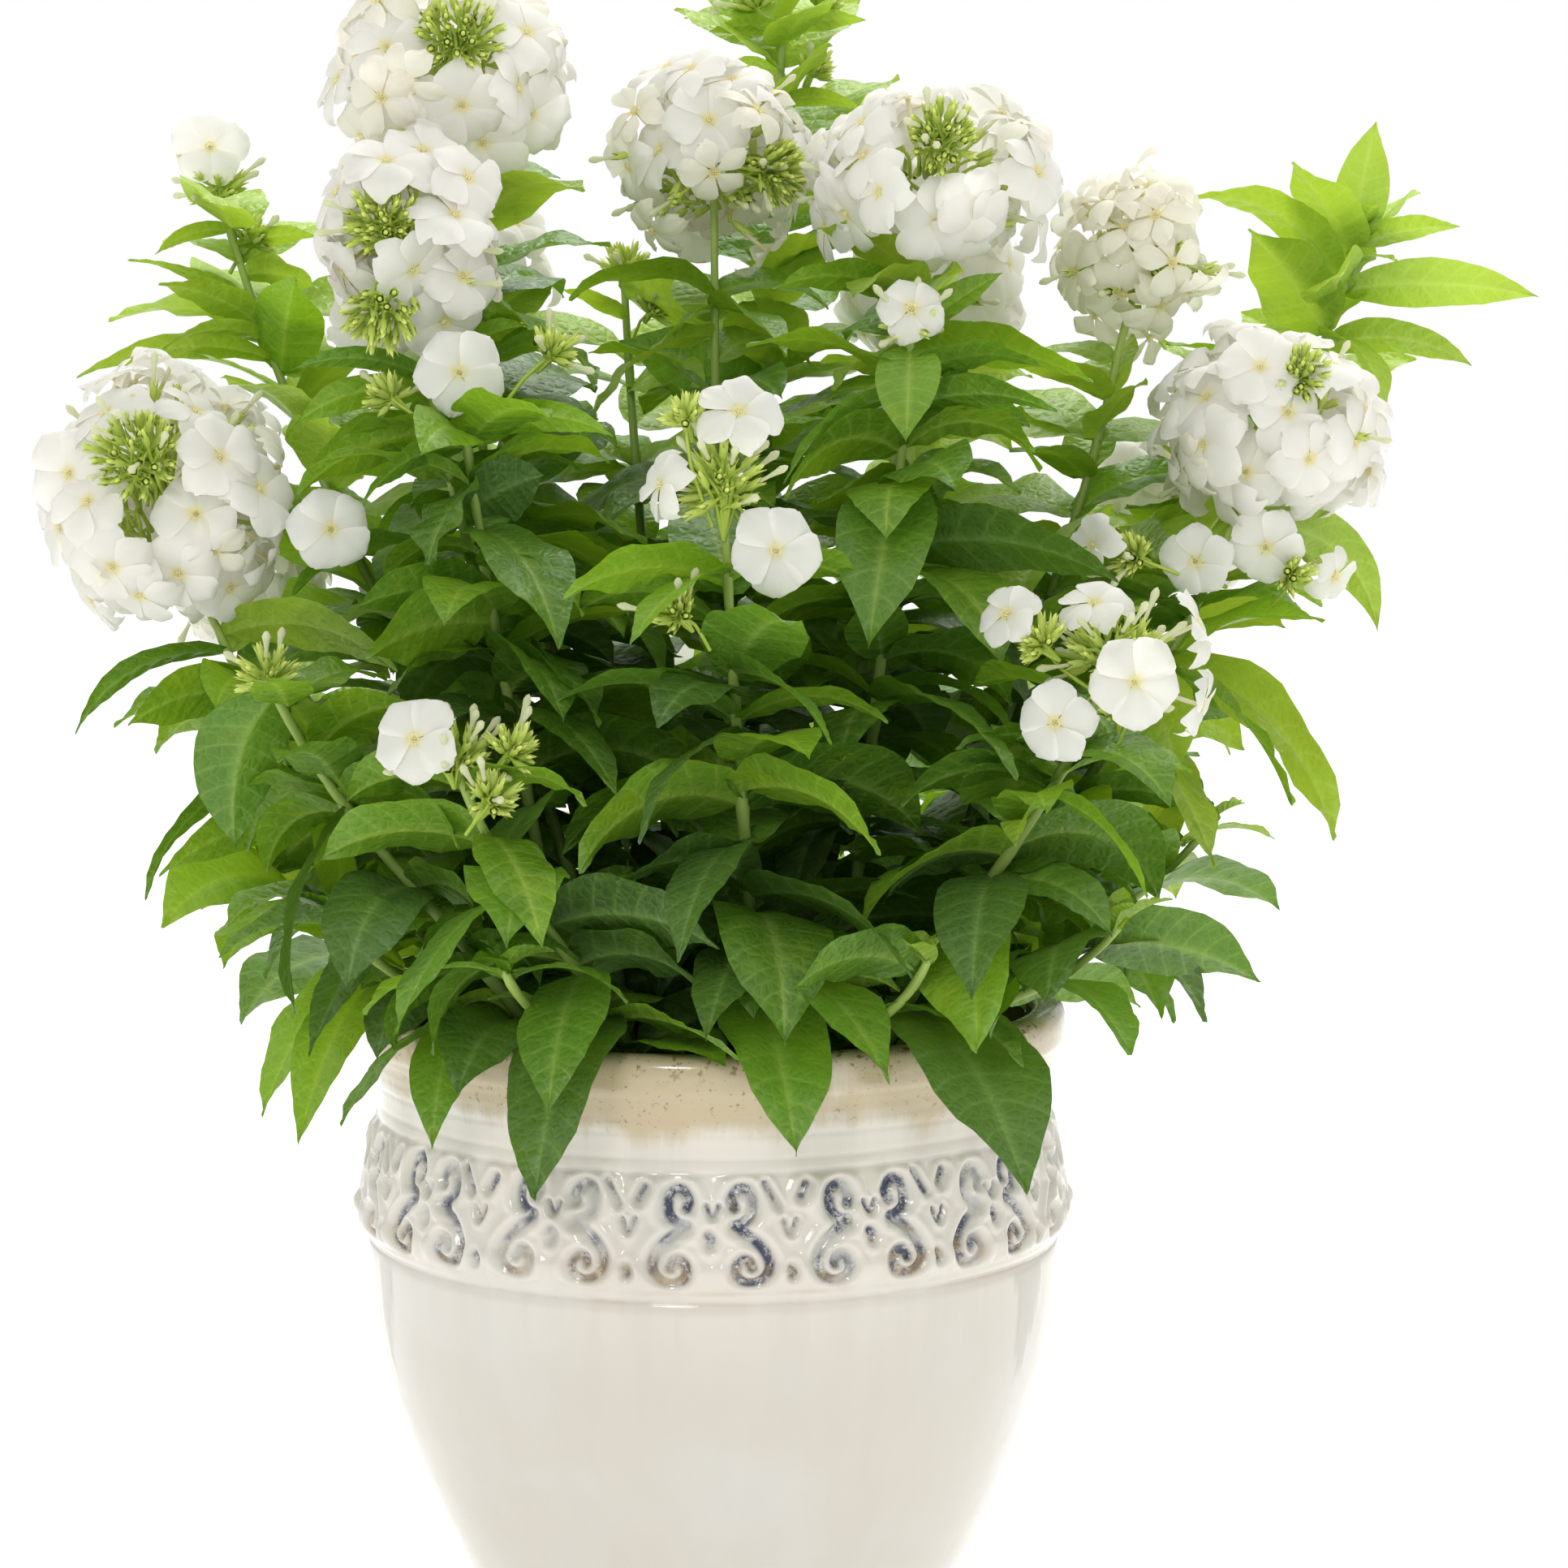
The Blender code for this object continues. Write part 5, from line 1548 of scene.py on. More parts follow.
@dataclass
class HeadRule:
    """The source's coarse heads, grown again so that the leaves find the same room."""

    radius: float = 17.5 * MM
    petals: int = 5
    notch: float = 0.86
    depth: float = 20 * MM
    cover: float = 0.42
    core_inset: float = 11 * MM
    stalk: float = 1.3 * MM
    inset: float = 4.5 * MM
    lift: float = 0.15                 # how far a dome's blooms look up from square
    cup_depth: float = 6 * MM
    stalk_start: float = 4 * MM
    stalk_bend: float = 3 * MM
    bud_point: Pair = (1.25, 1.65)
    bud_waist: float = 0.62
    seed: int = 100

    @staticmethod
    def solid(shape: bmesh.types.BMesh) -> Solid:
        """A bmesh's points and faces. It is freed.

        Args:
            shape: The bmesh.

        Returns:
            Its points and faces.
        """
        shape.verts.index_update()
        points = [vertex.co.copy() for vertex in shape.verts]
        faces = [tuple(vertex.index for vertex in face.verts) for face in shape.faces]
        shape.free()
        return points, faces

    def disc(self, centre: Vector, facing: Vector, radius: float, depth: float) -> Solid:
        """A disc of five lobes on a funnel.

        Args:
            centre: The disc's middle.
            facing: The way it faces.
            radius: Its radius.
            depth: The funnel's depth.

        Returns:
            Points and faces.
        """
        shape = bmesh.new()
        made = bmesh.ops.create_cone(shape, cap_ends=True, cap_tris=False, segments=self.petals,
                                     radius1=0.0, radius2=radius * self.notch, depth=depth)
        for vertex in made["verts"]:
            vertex.co.z -= depth / 2
        bmesh.ops.remove_doubles(shape, verts=shape.verts, dist=0.00001)
        rim = [edge for edge in shape.edges if all(v.co.z > -depth / 2 for v in edge.verts)]
        bmesh.ops.subdivide_edges(shape, edges=rim, cuts=1)
        for vertex in shape.verts:
            if vertex.co.z > -depth / 2 and vertex.co.xy.length < radius * self.notch * 0.99:
                vertex.co.xy *= radius / vertex.co.xy.length
        bmesh.ops.triangulate(shape, faces=shape.faces)
        turn = Vector(facing).to_track_quat("Z", "Y").to_matrix().to_4x4()
        shape.transform(Matrix.Translation(centre) @ turn)
        return self.solid(shape)

    def core(self, centre: Vector, radii: tuple[float, ...]) -> Solid:
        """A dome's inside.

        Args:
            centre: The middle.
            radii: Half its size along each axis.

        Returns:
            Points and faces.
        """
        shape = bmesh.new()
        bmesh.ops.create_icosphere(shape, subdivisions=1, radius=1.0)
        shape.transform(Matrix.Translation(centre) @ Matrix.Diagonal((*radii, 1.0)))
        return self.solid(shape)

    def tuft(self, stem: Stem, dice: Dice) -> Solid:
        """A small cluster of buds, every other corner drawn to a point.

        Args:
            stem: The stem.
            dice: Random numbers.

        Returns:
            Points and faces.
        """
        half_width, half_height = (value * MM for value in stem.size)
        shape = bmesh.new()
        bmesh.ops.create_icosphere(shape, subdivisions=1, radius=1.0)
        for i, vertex in enumerate(shape.verts):
            vertex.co *= self.bud_waist if i % 2 else dice.uniform(*self.bud_point)
        spin = Matrix.Rotation(dice.uniform(0, math.tau), 4, "Z")
        size = Matrix.Diagonal((half_width, half_width, half_height, 1.0))
        shape.transform(Matrix.Translation(mm(*stem.top)) @ size @ spin)
        return self.solid(shape)

    @staticmethod
    def tube(points: list[Vector], radii: list[float], resolution: int = 0) -> Solid:
        """A closed tube of a poly spline.

        Args:
            points: The line's points.
            radii: The radius at each.
            resolution: The curve's bevel resolution.

        Returns:
            Points and faces.
        """
        curve = bpy.data.curves.new("line", "CURVE")
        curve.dimensions = "3D"
        curve.bevel_depth = 1.0
        curve.bevel_resolution = resolution
        curve.use_fill_caps = True
        spline = curve.splines.new("POLY")
        spline.points.add(len(points) - 1)
        for knot, point, radius in zip(spline.points, points, radii):
            knot.co = (*point, 1.0)
            knot.radius = radius
        line = bpy.data.objects.new("line", curve)
        bpy.context.scene.collection.objects.link(line)
        graph = bpy.context.evaluated_depsgraph_get()
        mesh = bpy.data.meshes.new_from_object(line.evaluated_get(graph))
        shape = bmesh.new()
        shape.from_mesh(mesh)
        for thing, home in ((line, bpy.data.objects), (curve, bpy.data.curves), (mesh, bpy.data.meshes)):
            home.remove(thing)
        bmesh.ops.remove_doubles(shape, verts=shape.verts, dist=0.00001)
        bmesh.ops.recalc_face_normals(shape, faces=shape.faces)
        return HeadRule.solid(shape)

    @staticmethod
    def spread(count: int, start: float) -> list[Vector]:
        """Directions spread evenly over a sphere, from the top down.

        Args:
            count: How many directions.
            start: The first one's angle.

        Returns:
            The directions.
        """
        golden = math.pi * (3.0 - math.sqrt(5.0))
        directions = []
        for i in range(count):
            height = 1.0 - 2.0 * (i + 0.5) / count
            ring = math.sqrt(1.0 - height * height)
            angle = start + golden * i
            directions.append(Vector((ring * math.cos(angle), ring * math.sin(angle), height)))
        return directions

    def grow(self, site: Site) -> None:
        """Takes up the room of one stem's coarse head.

        Args:
            site: Where the stem grows.
        """
        stem, path, space, dice = site.stem, site.path, site.space, site.dice
        if stem.kind is Kind.LEAFY:
            return
        half_width, half_height = (value * MM for value in stem.size)
        top = mm(*stem.top)
        solids = []
        if stem.kind is Kind.DOME:
            radii = tuple(r - self.core_inset for r in (half_width, half_width, half_height))
            solids.append(self.core(top, radii))
            ahead = (path.points[-1] - path.points[-2]).normalized()
            foot = path.points[-1] + ahead * GAP
            stalk = [foot, foot + ahead * STEM_RULE.foot_rise, top]
            solids.append(self.tube(stalk, [STEM_RULE.tip_radius] * 3))
            count = round(4 * half_width * half_height / self.radius ** 2 * self.cover)
            for direction in self.spread(count, dice.uniform(0, math.tau)):
                offset = stretched(direction, half_width, half_height)
                facing = (direction + UP * self.lift).normalized()
                inward = 1.0 - self.inset / offset.length
                bloom = self.disc(top + offset * inward, facing, self.radius, self.depth)
                if space.is_clear(*bloom):
                    solids.append(bloom)
        else:
            solids.append(self.tuft(stem, dice))
        for x, y, z, *facing in stem.blooms:
            centre = top + mm(x, y, z)
            facing = Vector(facing).normalized()
            solids.append(self.disc(centre, facing, self.radius, self.cup_depth))
            behind = centre - facing * self.stalk_start
            bend = (behind + top) / 2 - facing * self.stalk_bend
            solids.append(self.tube([behind, bend, top], [self.stalk] * 3))
        for points, faces in solids:
            space.add(stem.name, points, faces)


@dataclass(frozen=True)
class OpenAir:
    """Room that side leaves leave free round each head and before each single bloom."""

    head_room: float = 9 * MM
    lane: float = 55 * MM
    start: float = 4 * MM
    wide: Pair = (13 * MM, 8 * MM)
    owner: str = "air"

    def fill(self, space: Space) -> None:
        """Takes up the room.

        Args:
            space: What is already placed.
        """
        for stem in STEMS:
            top = mm(*stem.top)
            if stem.kind is not Kind.LEAFY:
                radii = tuple(stem.size[i] * MM + self.head_room for i in (0, 0, 1))
                space.add(self.owner, *HeadRule().core(top, radii))
            for x, y, z, *facing in stem.blooms:
                facing = Vector(facing).normalized()
                centre = top + mm(x, y, z)
                line = [centre + facing * self.start, centre + facing * (self.start + self.lane)]
                space.add(self.owner, *HeadRule.tube(line, list(self.wide), 1))


@dataclass
class Bloom:
    """One flower: where it sits, the way it faces, its size and spin, and whether it is past its best."""

    centre: Vector
    facing: Vector
    radius: float
    spin: float
    base: Vector                   # the point on its twig that carries it
    old: bool = False


@dataclass
class Bud:
    """One bud: the point of its cup's foot, its direction and length, and whether it shows cream."""

    foot: Vector
    facing: Vector
    length: float
    ripe: bool
    base: Vector


@dataclass
class Corolla:
    """The fine form of a flower: five overlapping lobes, a slender tube and a toothed cup."""

    rows: tuple[float, ...] = (0.0, 0.09, 0.18, 0.36, 0.58, 0.76, 0.90, 0.97, 1.0)
    columns: tuple[float, ...] = (-1.0, -0.66, -0.33, 0.0, 0.33, 0.66, 1.0)
    throat: float = 1.3 * MM
    widest: float = 0.585              # half a lobe's width, of the flower's radius
    old_widest: float = 0.40
    flare: float = 2.5 * MM            # the pale throat that the lobes spring from
    tube: float = 19 * MM
    tube_radius: float = 1.15 * MM
    cup_radius: float = 1.75 * MM
    cup_length: float = 10 * MM

    def lobe(self, radius: float, old: bool, dice: Dice) -> tuple[np.ndarray, np.ndarray]:
        """One lobe's points, pointing along +X and facing +Z, and its values.

        Args:
            radius: The flower's radius.
            old: Whether the flower is past its best.
            dice: Random numbers.

        Returns:
            The points and three values for each.
        """
        u, s = np.meshgrid(self.rows, self.columns, indexing="ij")
        widest = (self.old_widest if old else self.widest) * radius * dice.uniform(0.90, 1.04)
        width = widest * np.sin(np.minimum(1.0, 0.08 + u * 1.20) * math.pi / 2) ** 1.25
        width = width * np.sqrt(1 - np.clip((u - 0.50) / (0.54 if old else 0.52), 0, 0.965) ** 2)
        reach = radius * dice.uniform(0.97, 1.07)
        along = self.throat + (reach - self.throat) * u * (1 - 0.10 * s * s * u)
        along = along - 0.04 * radius * np.exp(-(s / 0.3) ** 2) * u ** 6
        cup = dice.uniform(-0.20, 0.14) + (dice.uniform(-0.3, 0.3) if old else 0.0)
        height = radius * (cup * u ** 2 - 0.05 * u + 0.09 * np.sin(u * math.pi))
        height = height + radius * 0.11 * s * u                       # one edge over the next lobe's
        height = height - radius * dice.uniform(0.02, 0.20) * s * s * u
        height = height + radius * 0.06 * np.sin(s * dice.uniform(3, 5) + dice.uniform(0, 6)) * u ** 2
        height = height - radius * 0.12 * np.clip((u - 0.8) / 0.2, 0, 1) ** 2
        points = np.stack([along, s * width, height], axis=-1).reshape(-1, 3)
        inward = 0.72 * np.exp(-(along / (3.6 * MM)) ** 4) + 0.28 * np.exp(-(along / (6.0 * MM)) ** 2)
        streak = 0.5 + 0.5 * np.cos(s * 9.0)
        values = np.stack([inward, streak * u, np.full_like(u, dice.random())], axis=-1).reshape(-1, 3)
        return points, values

    def add(self, bloom: Bloom, petals: Sheet, greens: Sheet, eyes: Sheet, dice: Dice) -> None:
        """Adds one flower to the pieces of its kinds.

        Args:
            bloom: The flower.
            petals: The piece of petals.
            greens: The piece of cups.
            eyes: The piece of stamens.
            dice: Random numbers.
        """
        turn = np.array(bloom.facing.to_track_quat("Z", "Y").to_matrix())
        centre = np.array(bloom.centre)
        faces = grid_faces(len(self.rows), len(self.columns))
        for k in range(5):
            points, values = self.lobe(bloom.radius, bloom.old, dice)
            angle = bloom.spin + k * math.tau / 5 + dice.uniform(-0.07, 0.07)
            spin = np.array(Matrix.Rotation(angle, 3, "Z"))
            petals.add(points @ spin.T @ turn.T + centre, faces, values)
        path = np.array([(0, 0, 0.45), (0, 0, -0.3), (0, 0, -2.2), (0, 0, -8), (0, 0, -self.tube / MM)]) * MM
        path[-1, :2] = dice.uniform(-1, 1) * MM, dice.uniform(-1, 1) * MM
        radii = np.array([self.flare / self.tube_radius, 0.95, 0.8, 0.8, 0.7]) * self.tube_radius
        rings = tube_points(path, radii, 7)
        inward = np.repeat((0.95, 1.0, 0.9, 0.55, 0.55), 7)
        petals.add(rings @ turn.T + centre, grid_faces(5, 7, closed=True),
                   np.stack([inward, np.zeros(35), np.full(35, 0.2)], axis=1))
        self.add_cup(greens, centre + turn @ path[-1], turn, self.cup_length, dice)
        for k in range(4):
            angle = k * math.tau / 4 + bloom.spin
            top = np.array((math.cos(angle), math.sin(angle), 0.3)) * 0.62 * MM
            line = np.array([top - (0, 0, 1.6 * MM), top, top + (0, 0, 0.6 * MM)])
            points = tube_points(line, np.array([0.5, 0.5, 0.2]) * MM, 3)
            eyes.add(points @ turn.T + centre, grid_faces(3, 3, closed=True),
                     np.tile((1.0, 0.0, dice.random()), (len(points), 1)))

    def add_cup(self, greens: Sheet, foot: np.ndarray, turn: np.ndarray, length: float,
                dice: Dice) -> None:
        """Adds a cup with five long teeth.

        Args:
            greens: The piece of cups.
            foot: Its lowest point.
            turn: The rotation that turns +Z to its direction.
            length: Its length.
            dice: Random numbers.
        """
        heights, radii = (0.0, 0.22, 0.60), (0.45, 0.95, 1.0)
        angles = np.arange(5) * math.tau / 5 + dice.uniform(0, 1)
        points, heights_of = [], []
        for height, radius in zip(heights, radii):
            points += [(math.cos(a) * radius * self.cup_radius, math.sin(a) * radius * self.cup_radius,
                        height * length) for a in angles]
            heights_of += [height] * 5
        for a in angles + math.tau / 10:
            points.append((math.cos(a) * 1.35 * self.cup_radius, math.sin(a) * 1.35 * self.cup_radius,
                           length * dice.uniform(0.9, 1.05)))
            heights_of.append(1.0)
        faces = grid_faces(3, 5, closed=True) + [(10 + k, 10 + (k + 1) % 5, 15 + k) for k in range(5)]
        own = dice.random()
        values = np.array([(0.2 + 0.6 * h, 0.0, own) for h in heights_of])
        greens.add(np.array(points) @ turn.T + foot, faces, values)

    def add_bud(self, bud: Bud, petals: Sheet, greens: Sheet, dice: Dice) -> None:
        """Adds one bud: a green cup and, once ripe, a cream point that stands out of it.

        Args:
            bud: The bud.
            petals: The piece of cream buds.
            greens: The piece of cups.
            dice: Random numbers.
        """
        turn = np.array(bud.facing.to_track_quat("Z", "Y").to_matrix())
        foot = np.array(bud.foot)
        cup = self.cup_length * (0.9 if bud.ripe else bud.length / self.cup_length)
        self.add_cup(greens, foot, turn, cup, dice)
        stretch = (0.35, 0.55, 0.74, 0.86, 0.95, 1.0)
        if bud.ripe:
            radii = np.array((0.85, 0.80, 1.25, 1.75, 1.15, 0.12)) * MM
            sheet, values = petals, (0.35, 0.3, dice.random())
        else:
            radii = np.array((0.95, 1.0, 0.95, 0.75, 0.45, 0.1)) * MM
            sheet, values = greens, (0.9, 0.0, dice.random())
        path = np.array([(0, 0, share * bud.length * (1.0 if bud.ripe else 0.98)) for share in stretch])
        points = tube_points(path, radii, 6)
        sheet.add(points @ turn.T + foot, grid_faces(len(path), 6, closed=True),
                  np.tile(values, (len(points), 1)))


@dataclass
class Heads:
    """All flower heads: blooms and buds on twigs that branch from each stem's tip."""

    rule: HeadRule = field(default_factory=HeadRule)
    corolla: Corolla = field(default_factory=Corolla)
    cover: float = 1.45
    lowest: float = -0.82              # a dome's blooms stop above its stem
    tries: int = 5
    fullness: float = 1.06             # a fresh dome's blooms, of the source's
    old_fullness: float = 0.94
    old_cover: float = 1.2             # how much closer an old head's blooms stand
    old_tilt: float = 1.5              # and how much further they tilt
    faded_size: float = 0.88
    size_play: Pair = (0.9, 1.08)
    disc_share: float = 0.85           # of a bloom, that has to be clear of the others
    disc_depth: float = 5 * MM
    step_in: float = 1.5               # how much deeper each further try sits, mm
    bud_aside: float = 5               # how far a dome's buds stray, mm
    depth_play: Pair = (-4.0 * MM, 8.0 * MM)
    place_play: float = 0.17
    tilt_play: float = 0.42
    heart_room: float = 8 * MM
    bud_room: Pair = (9 * MM, 24 * MM)      # before a dome's flowers, and before single ones
    gaps: float = 0.05                 # share of a dome's places that hold only buds
    twig: float = 0.75 * MM
    petal: PetalFinish = PetalFinish("petal")
    old_petal: PetalFinish = PetalFinish("petal_old", (0.95, 0.925, 0.81), (0.84, 0.74, 0.32),
                                         (0.88, 0.83, 0.66))
    bud: PetalFinish = PetalFinish("petal_bud", (0.78, 0.80, 0.52), (0.44, 0.56, 0.14), (0.66, 0.70, 0.40))
    eye: GreenFinish = GreenFinish("stamen", (0.90, 0.84, 0.40), (0.94, 0.88, 0.48), 0.6)
    green: GreenFinish = GreenFinish("cup", (0.38, 0.54, 0.045), (0.72, 0.80, 0.22), 0.42)
    seed: int = 2500

    def dome(self, stem: Stem, space: Space, dice: Dice) -> tuple[list[Bloom], list[Bud]]:
        """The flowers and buds of a rounded head.

        Args:
            stem: The stem.
            space: What is already placed.
            dice: Random numbers.

        Returns:
            The flowers and the buds.
        """
        half_width, half_height = (value * MM for value in stem.size)
        top = mm(*stem.top)
        radius = self.rule.radius * (self.old_fullness if stem.old else self.fullness)
        start = random.Random(self.rule.seed + STEMS.index(stem)).uniform(0, math.tau)
        cover = self.cover * (self.old_cover if stem.old else 1.0)
        count = round(4 * half_width * half_height / self.rule.radius ** 2 * cover)
        hearts = [(top + Vector(heart[:3]) * MM, heart[3] * MM) for heart in stem.hearts]
        blooms, buds = [], []
        for direction in self.rule.spread(count, start):
            if direction.z < self.lowest:
                continue
            direction = (direction + scattered(dice, self.place_play)).normalized()
            offset = stretched(direction, half_width, half_height)
            outward = (direction + UP * self.rule.lift).normalized()
            base = top + offset * 0.30 - UP * half_height * 0.25
            bare = dice.random() < self.gaps
            for attempt in range(self.tries):
                play = scattered(dice, self.tilt_play) * (self.old_tilt if stem.old else 1)
                facing = (outward + play).normalized()
                inward = 1.0 - (self.rule.inset + dice.uniform(*self.depth_play)
                                + attempt * self.step_in * MM) / offset.length
                centre = top + offset * inward
                if bare or any((centre - heart).length < reach + self.heart_room for heart, reach in hearts):
                    break
                disc = self.rule.disc(centre, facing, radius * self.disc_share, self.disc_depth)
                if space.is_clear(*disc, whose=stem.name):
                    old = stem.old or dice.random() < stem.faded
                    size = radius * dice.uniform(*self.size_play)
                    size *= 1.0 if stem.old or not old else self.faded_size
                    blooms.append(Bloom(centre, facing, size, dice.uniform(0, math.tau), base, old))
                    break
            for _ in range(4 if bare else dice.choice((0, 0, 1, 1))):
                aside = scattered(dice, self.bud_aside) * MM
                foot = top + offset * dice.uniform(0.55, 0.78) + aside
                buds.append(self.bud_at(foot, outward, base, dice))
        for heart, reach in hearts:
            outward = (heart - top).normalized()
            for direction in self.rule.spread(round(30 + reach / MM * 1.7), start):
                if direction.dot(outward) > -0.15:
                    foot = heart + direction * (reach * 0.5 + 2 * MM) - outward * 8 * MM
                    buds.append(self.bud_at(foot, (direction + outward * 0.7).normalized(), top, dice, 0.12))
        return blooms, buds

    def singles(self, stem: Stem, dice: Dice) -> list[Bloom]:
        """The blooms of a stem that are set one by one.

        Args:
            stem: The stem.
            dice: Random numbers.

        Returns:
            The blooms.
        """
        top = mm(*stem.top)
        sizes = stem.sizes or (1.0,) * len(stem.blooms)
        return [Bloom(top + mm(x, y, z), Vector(facing).normalized(), self.rule.radius * size,
                      dice.uniform(0, math.tau), top - UP * 4 * MM)
                for size, (x, y, z, *facing) in zip(sizes, stem.blooms)]

    def clusters(self, stem: Stem, dice: Dice) -> list[Bud]:
        """The small clusters of buds on side twigs.

        Args:
            stem: The stem.
            dice: Random numbers.

        Returns:
            The buds.
        """
        top = mm(*stem.top)
        buds = []
        for x, y, z, reach in stem.tufts:
            middle = top + mm(x, y, z)
            base = top + Vector((x * 0.3, y * 0.3, min(z, 0.0) - 14)) * MM
            outward = (middle - base).normalized()
            for direction in self.rule.spread(24, dice.uniform(0, math.tau)):
                if direction.dot(outward) > -0.5:
                    facing = (direction + outward * 0.6).normalized()
                    buds.append(self.bud_at(middle + direction * reach * 0.35 * MM, facing,
                                            middle - outward * reach * MM, dice, 0.15))
            buds.append(self.bud_at(middle, outward, base, dice, 0.0))
        return buds

    def bud_at(self, foot: Vector, facing: Vector, base: Vector, dice: Dice, ripe: float = 0.5) -> Bud:
        """One bud with its own tilt.

        Args:
            foot: Its cup's lowest point.
            facing: The way it roughly points.
            base: The point that its twig comes from.
            dice: Random numbers.
            ripe: The chance that it shows cream.

        Returns:
            The bud.
        """
        play = Vector([dice.uniform(-0.35, 0.35) for _ in range(3)])
        shows = dice.random() < ripe
        length = (dice.uniform(15, 21) if shows else dice.uniform(6, 11)) * MM
        return Bud(foot, (facing + play).normalized(), length, shows, base)

    def loose(self, stem: Stem, dice: Dice) -> list[Bud]:
        """The buds of a small head.

        Args:
            stem: The stem.
            dice: Random numbers.

        Returns:
            The buds.
        """
        half_width, half_height = (value * MM for value in stem.size)
        top = mm(*stem.top)
        buds = []
        count = 18 + round(half_width * half_height / MM ** 2 * 0.10)
        ripe = 0.45 if stem.blooms else 0.12
        for direction in self.rule.spread(count, dice.uniform(0, math.tau)):
            if direction.z < -0.55:
                continue
            foot = top + stretched(direction, half_width, half_height) * 0.62
            facing = (direction + UP * 0.35).normalized()
            buds.append(self.bud_at(foot, facing, top - UP * half_height * 0.8, dice, ripe))
        return buds

    def grow(self, space: Space) -> list[tuple[Stem, list[Bloom], list[Bud]]]:
        """Grows every head and takes up its room.

        Args:
            space: What is already placed.

        Returns:
            Each stem with its flowers and buds.
        """
        heads = []
        for number, stem in enumerate(STEMS):
            dice = random.Random(self.seed + number)
            if stem.kind is Kind.LEAFY:
                continue
            if stem.kind is Kind.DOME:
                blooms, buds = self.dome(stem, space, dice)
            else:
                blooms, buds = [], self.loose(stem, dice)
            blooms += self.singles(stem, dice)
            buds += self.clusters(stem, dice)
            for bloom in blooms:
                disc = self.rule.disc(bloom.centre, bloom.facing, bloom.radius, self.disc_depth)
                space.add(stem.name, *disc)
            ahead = self.bud_room[0 if stem.kind is Kind.DOME else 1]
            kept = [bud for bud in buds if not any(self.pierces(bud, bloom, ahead) for bloom in blooms)]
            heads.append((stem, blooms, kept))
        log.info("%d blooms and %d buds", sum(len(h[1]) for h in heads), sum(len(h[2]) for h in heads))
        return heads

    @staticmethod
    def pierces(bud: Bud, bloom: Bloom, ahead: float) -> bool:
        """Whether a bud comes through a flower, or stands before it by no more than a distance.

        Args:
            bud: The bud.
            bloom: The flower.
            ahead: The distance.

        Returns:
            True if it does either.
        """
        away = bud.foot + bud.facing * bud.length - bloom.centre
        depth = away.dot(bloom.facing)
        aside = (away - bloom.facing * depth).length
        return -3 * MM < depth < ahead and aside < bloom.radius * 0.62

    def build(self, heads: list[tuple[Stem, list[Bloom], list[Bud]]]) -> None:
        """Joins all heads, each kind of thing apart.

        Args:
            heads: Each stem with its flowers and buds.
        """
        petals, old, tips, greens, eyes, twigs = (Sheet() for _ in range(6))
        dice = random.Random(self.seed - 1)
        for stem, blooms, buds in heads:
            for bloom in blooms:
                self.corolla.add(bloom, old if bloom.old else petals, greens, eyes, dice)
                foot = bloom.centre - bloom.facing * self.corolla.tube
                self.add_twig(twigs, bloom.base, foot, bloom.facing)
            for bud in buds:
                self.corolla.add_bud(bud, tips, greens, dice)
                self.add_twig(twigs, bud.base, bud.foot, bud.facing)
        domes = ["blooms_" + stem.name for stem in STEMS if stem.kind is Kind.DOME]
        petals.build("petals", self.petal.material(), [n for n in domes if n != "blooms_right_old"], "petal")
        old.build("petals_old", self.old_petal.material(), domes, "petal")
        tips.build("bud_tips", self.bud.material(), [], "petal")
        greens.build("cups", self.green.material(), [], "stem")
        eyes.build("stamens", self.eye.material(), [], "petal")
        twigs.build("head_twigs", self.green.material(), [], "stem")

    def add_twig(self, twigs: Sheet, base: Vector, foot: Vector, facing: Vector) -> None:
        """Adds the twig from a head's middle to one cup.

        Args:
            twigs: The piece of twigs.
            base: Where it starts.
            foot: The cup's lowest point.
            facing: The direction that it ends in.
        """
        bend = foot - facing * (foot - base).length * 0.4
        line = catmull([tuple(base), tuple(bend), tuple(foot)], 2)
        radii = np.linspace(self.twig * 1.25, self.twig, len(line))
        points = tube_points(line, radii, 4)
        twigs.add(points, grid_faces(len(line), 4, closed=True), np.tile((0.15, 0.0, 0.4), (len(points), 1)))


# ---- pot and compost


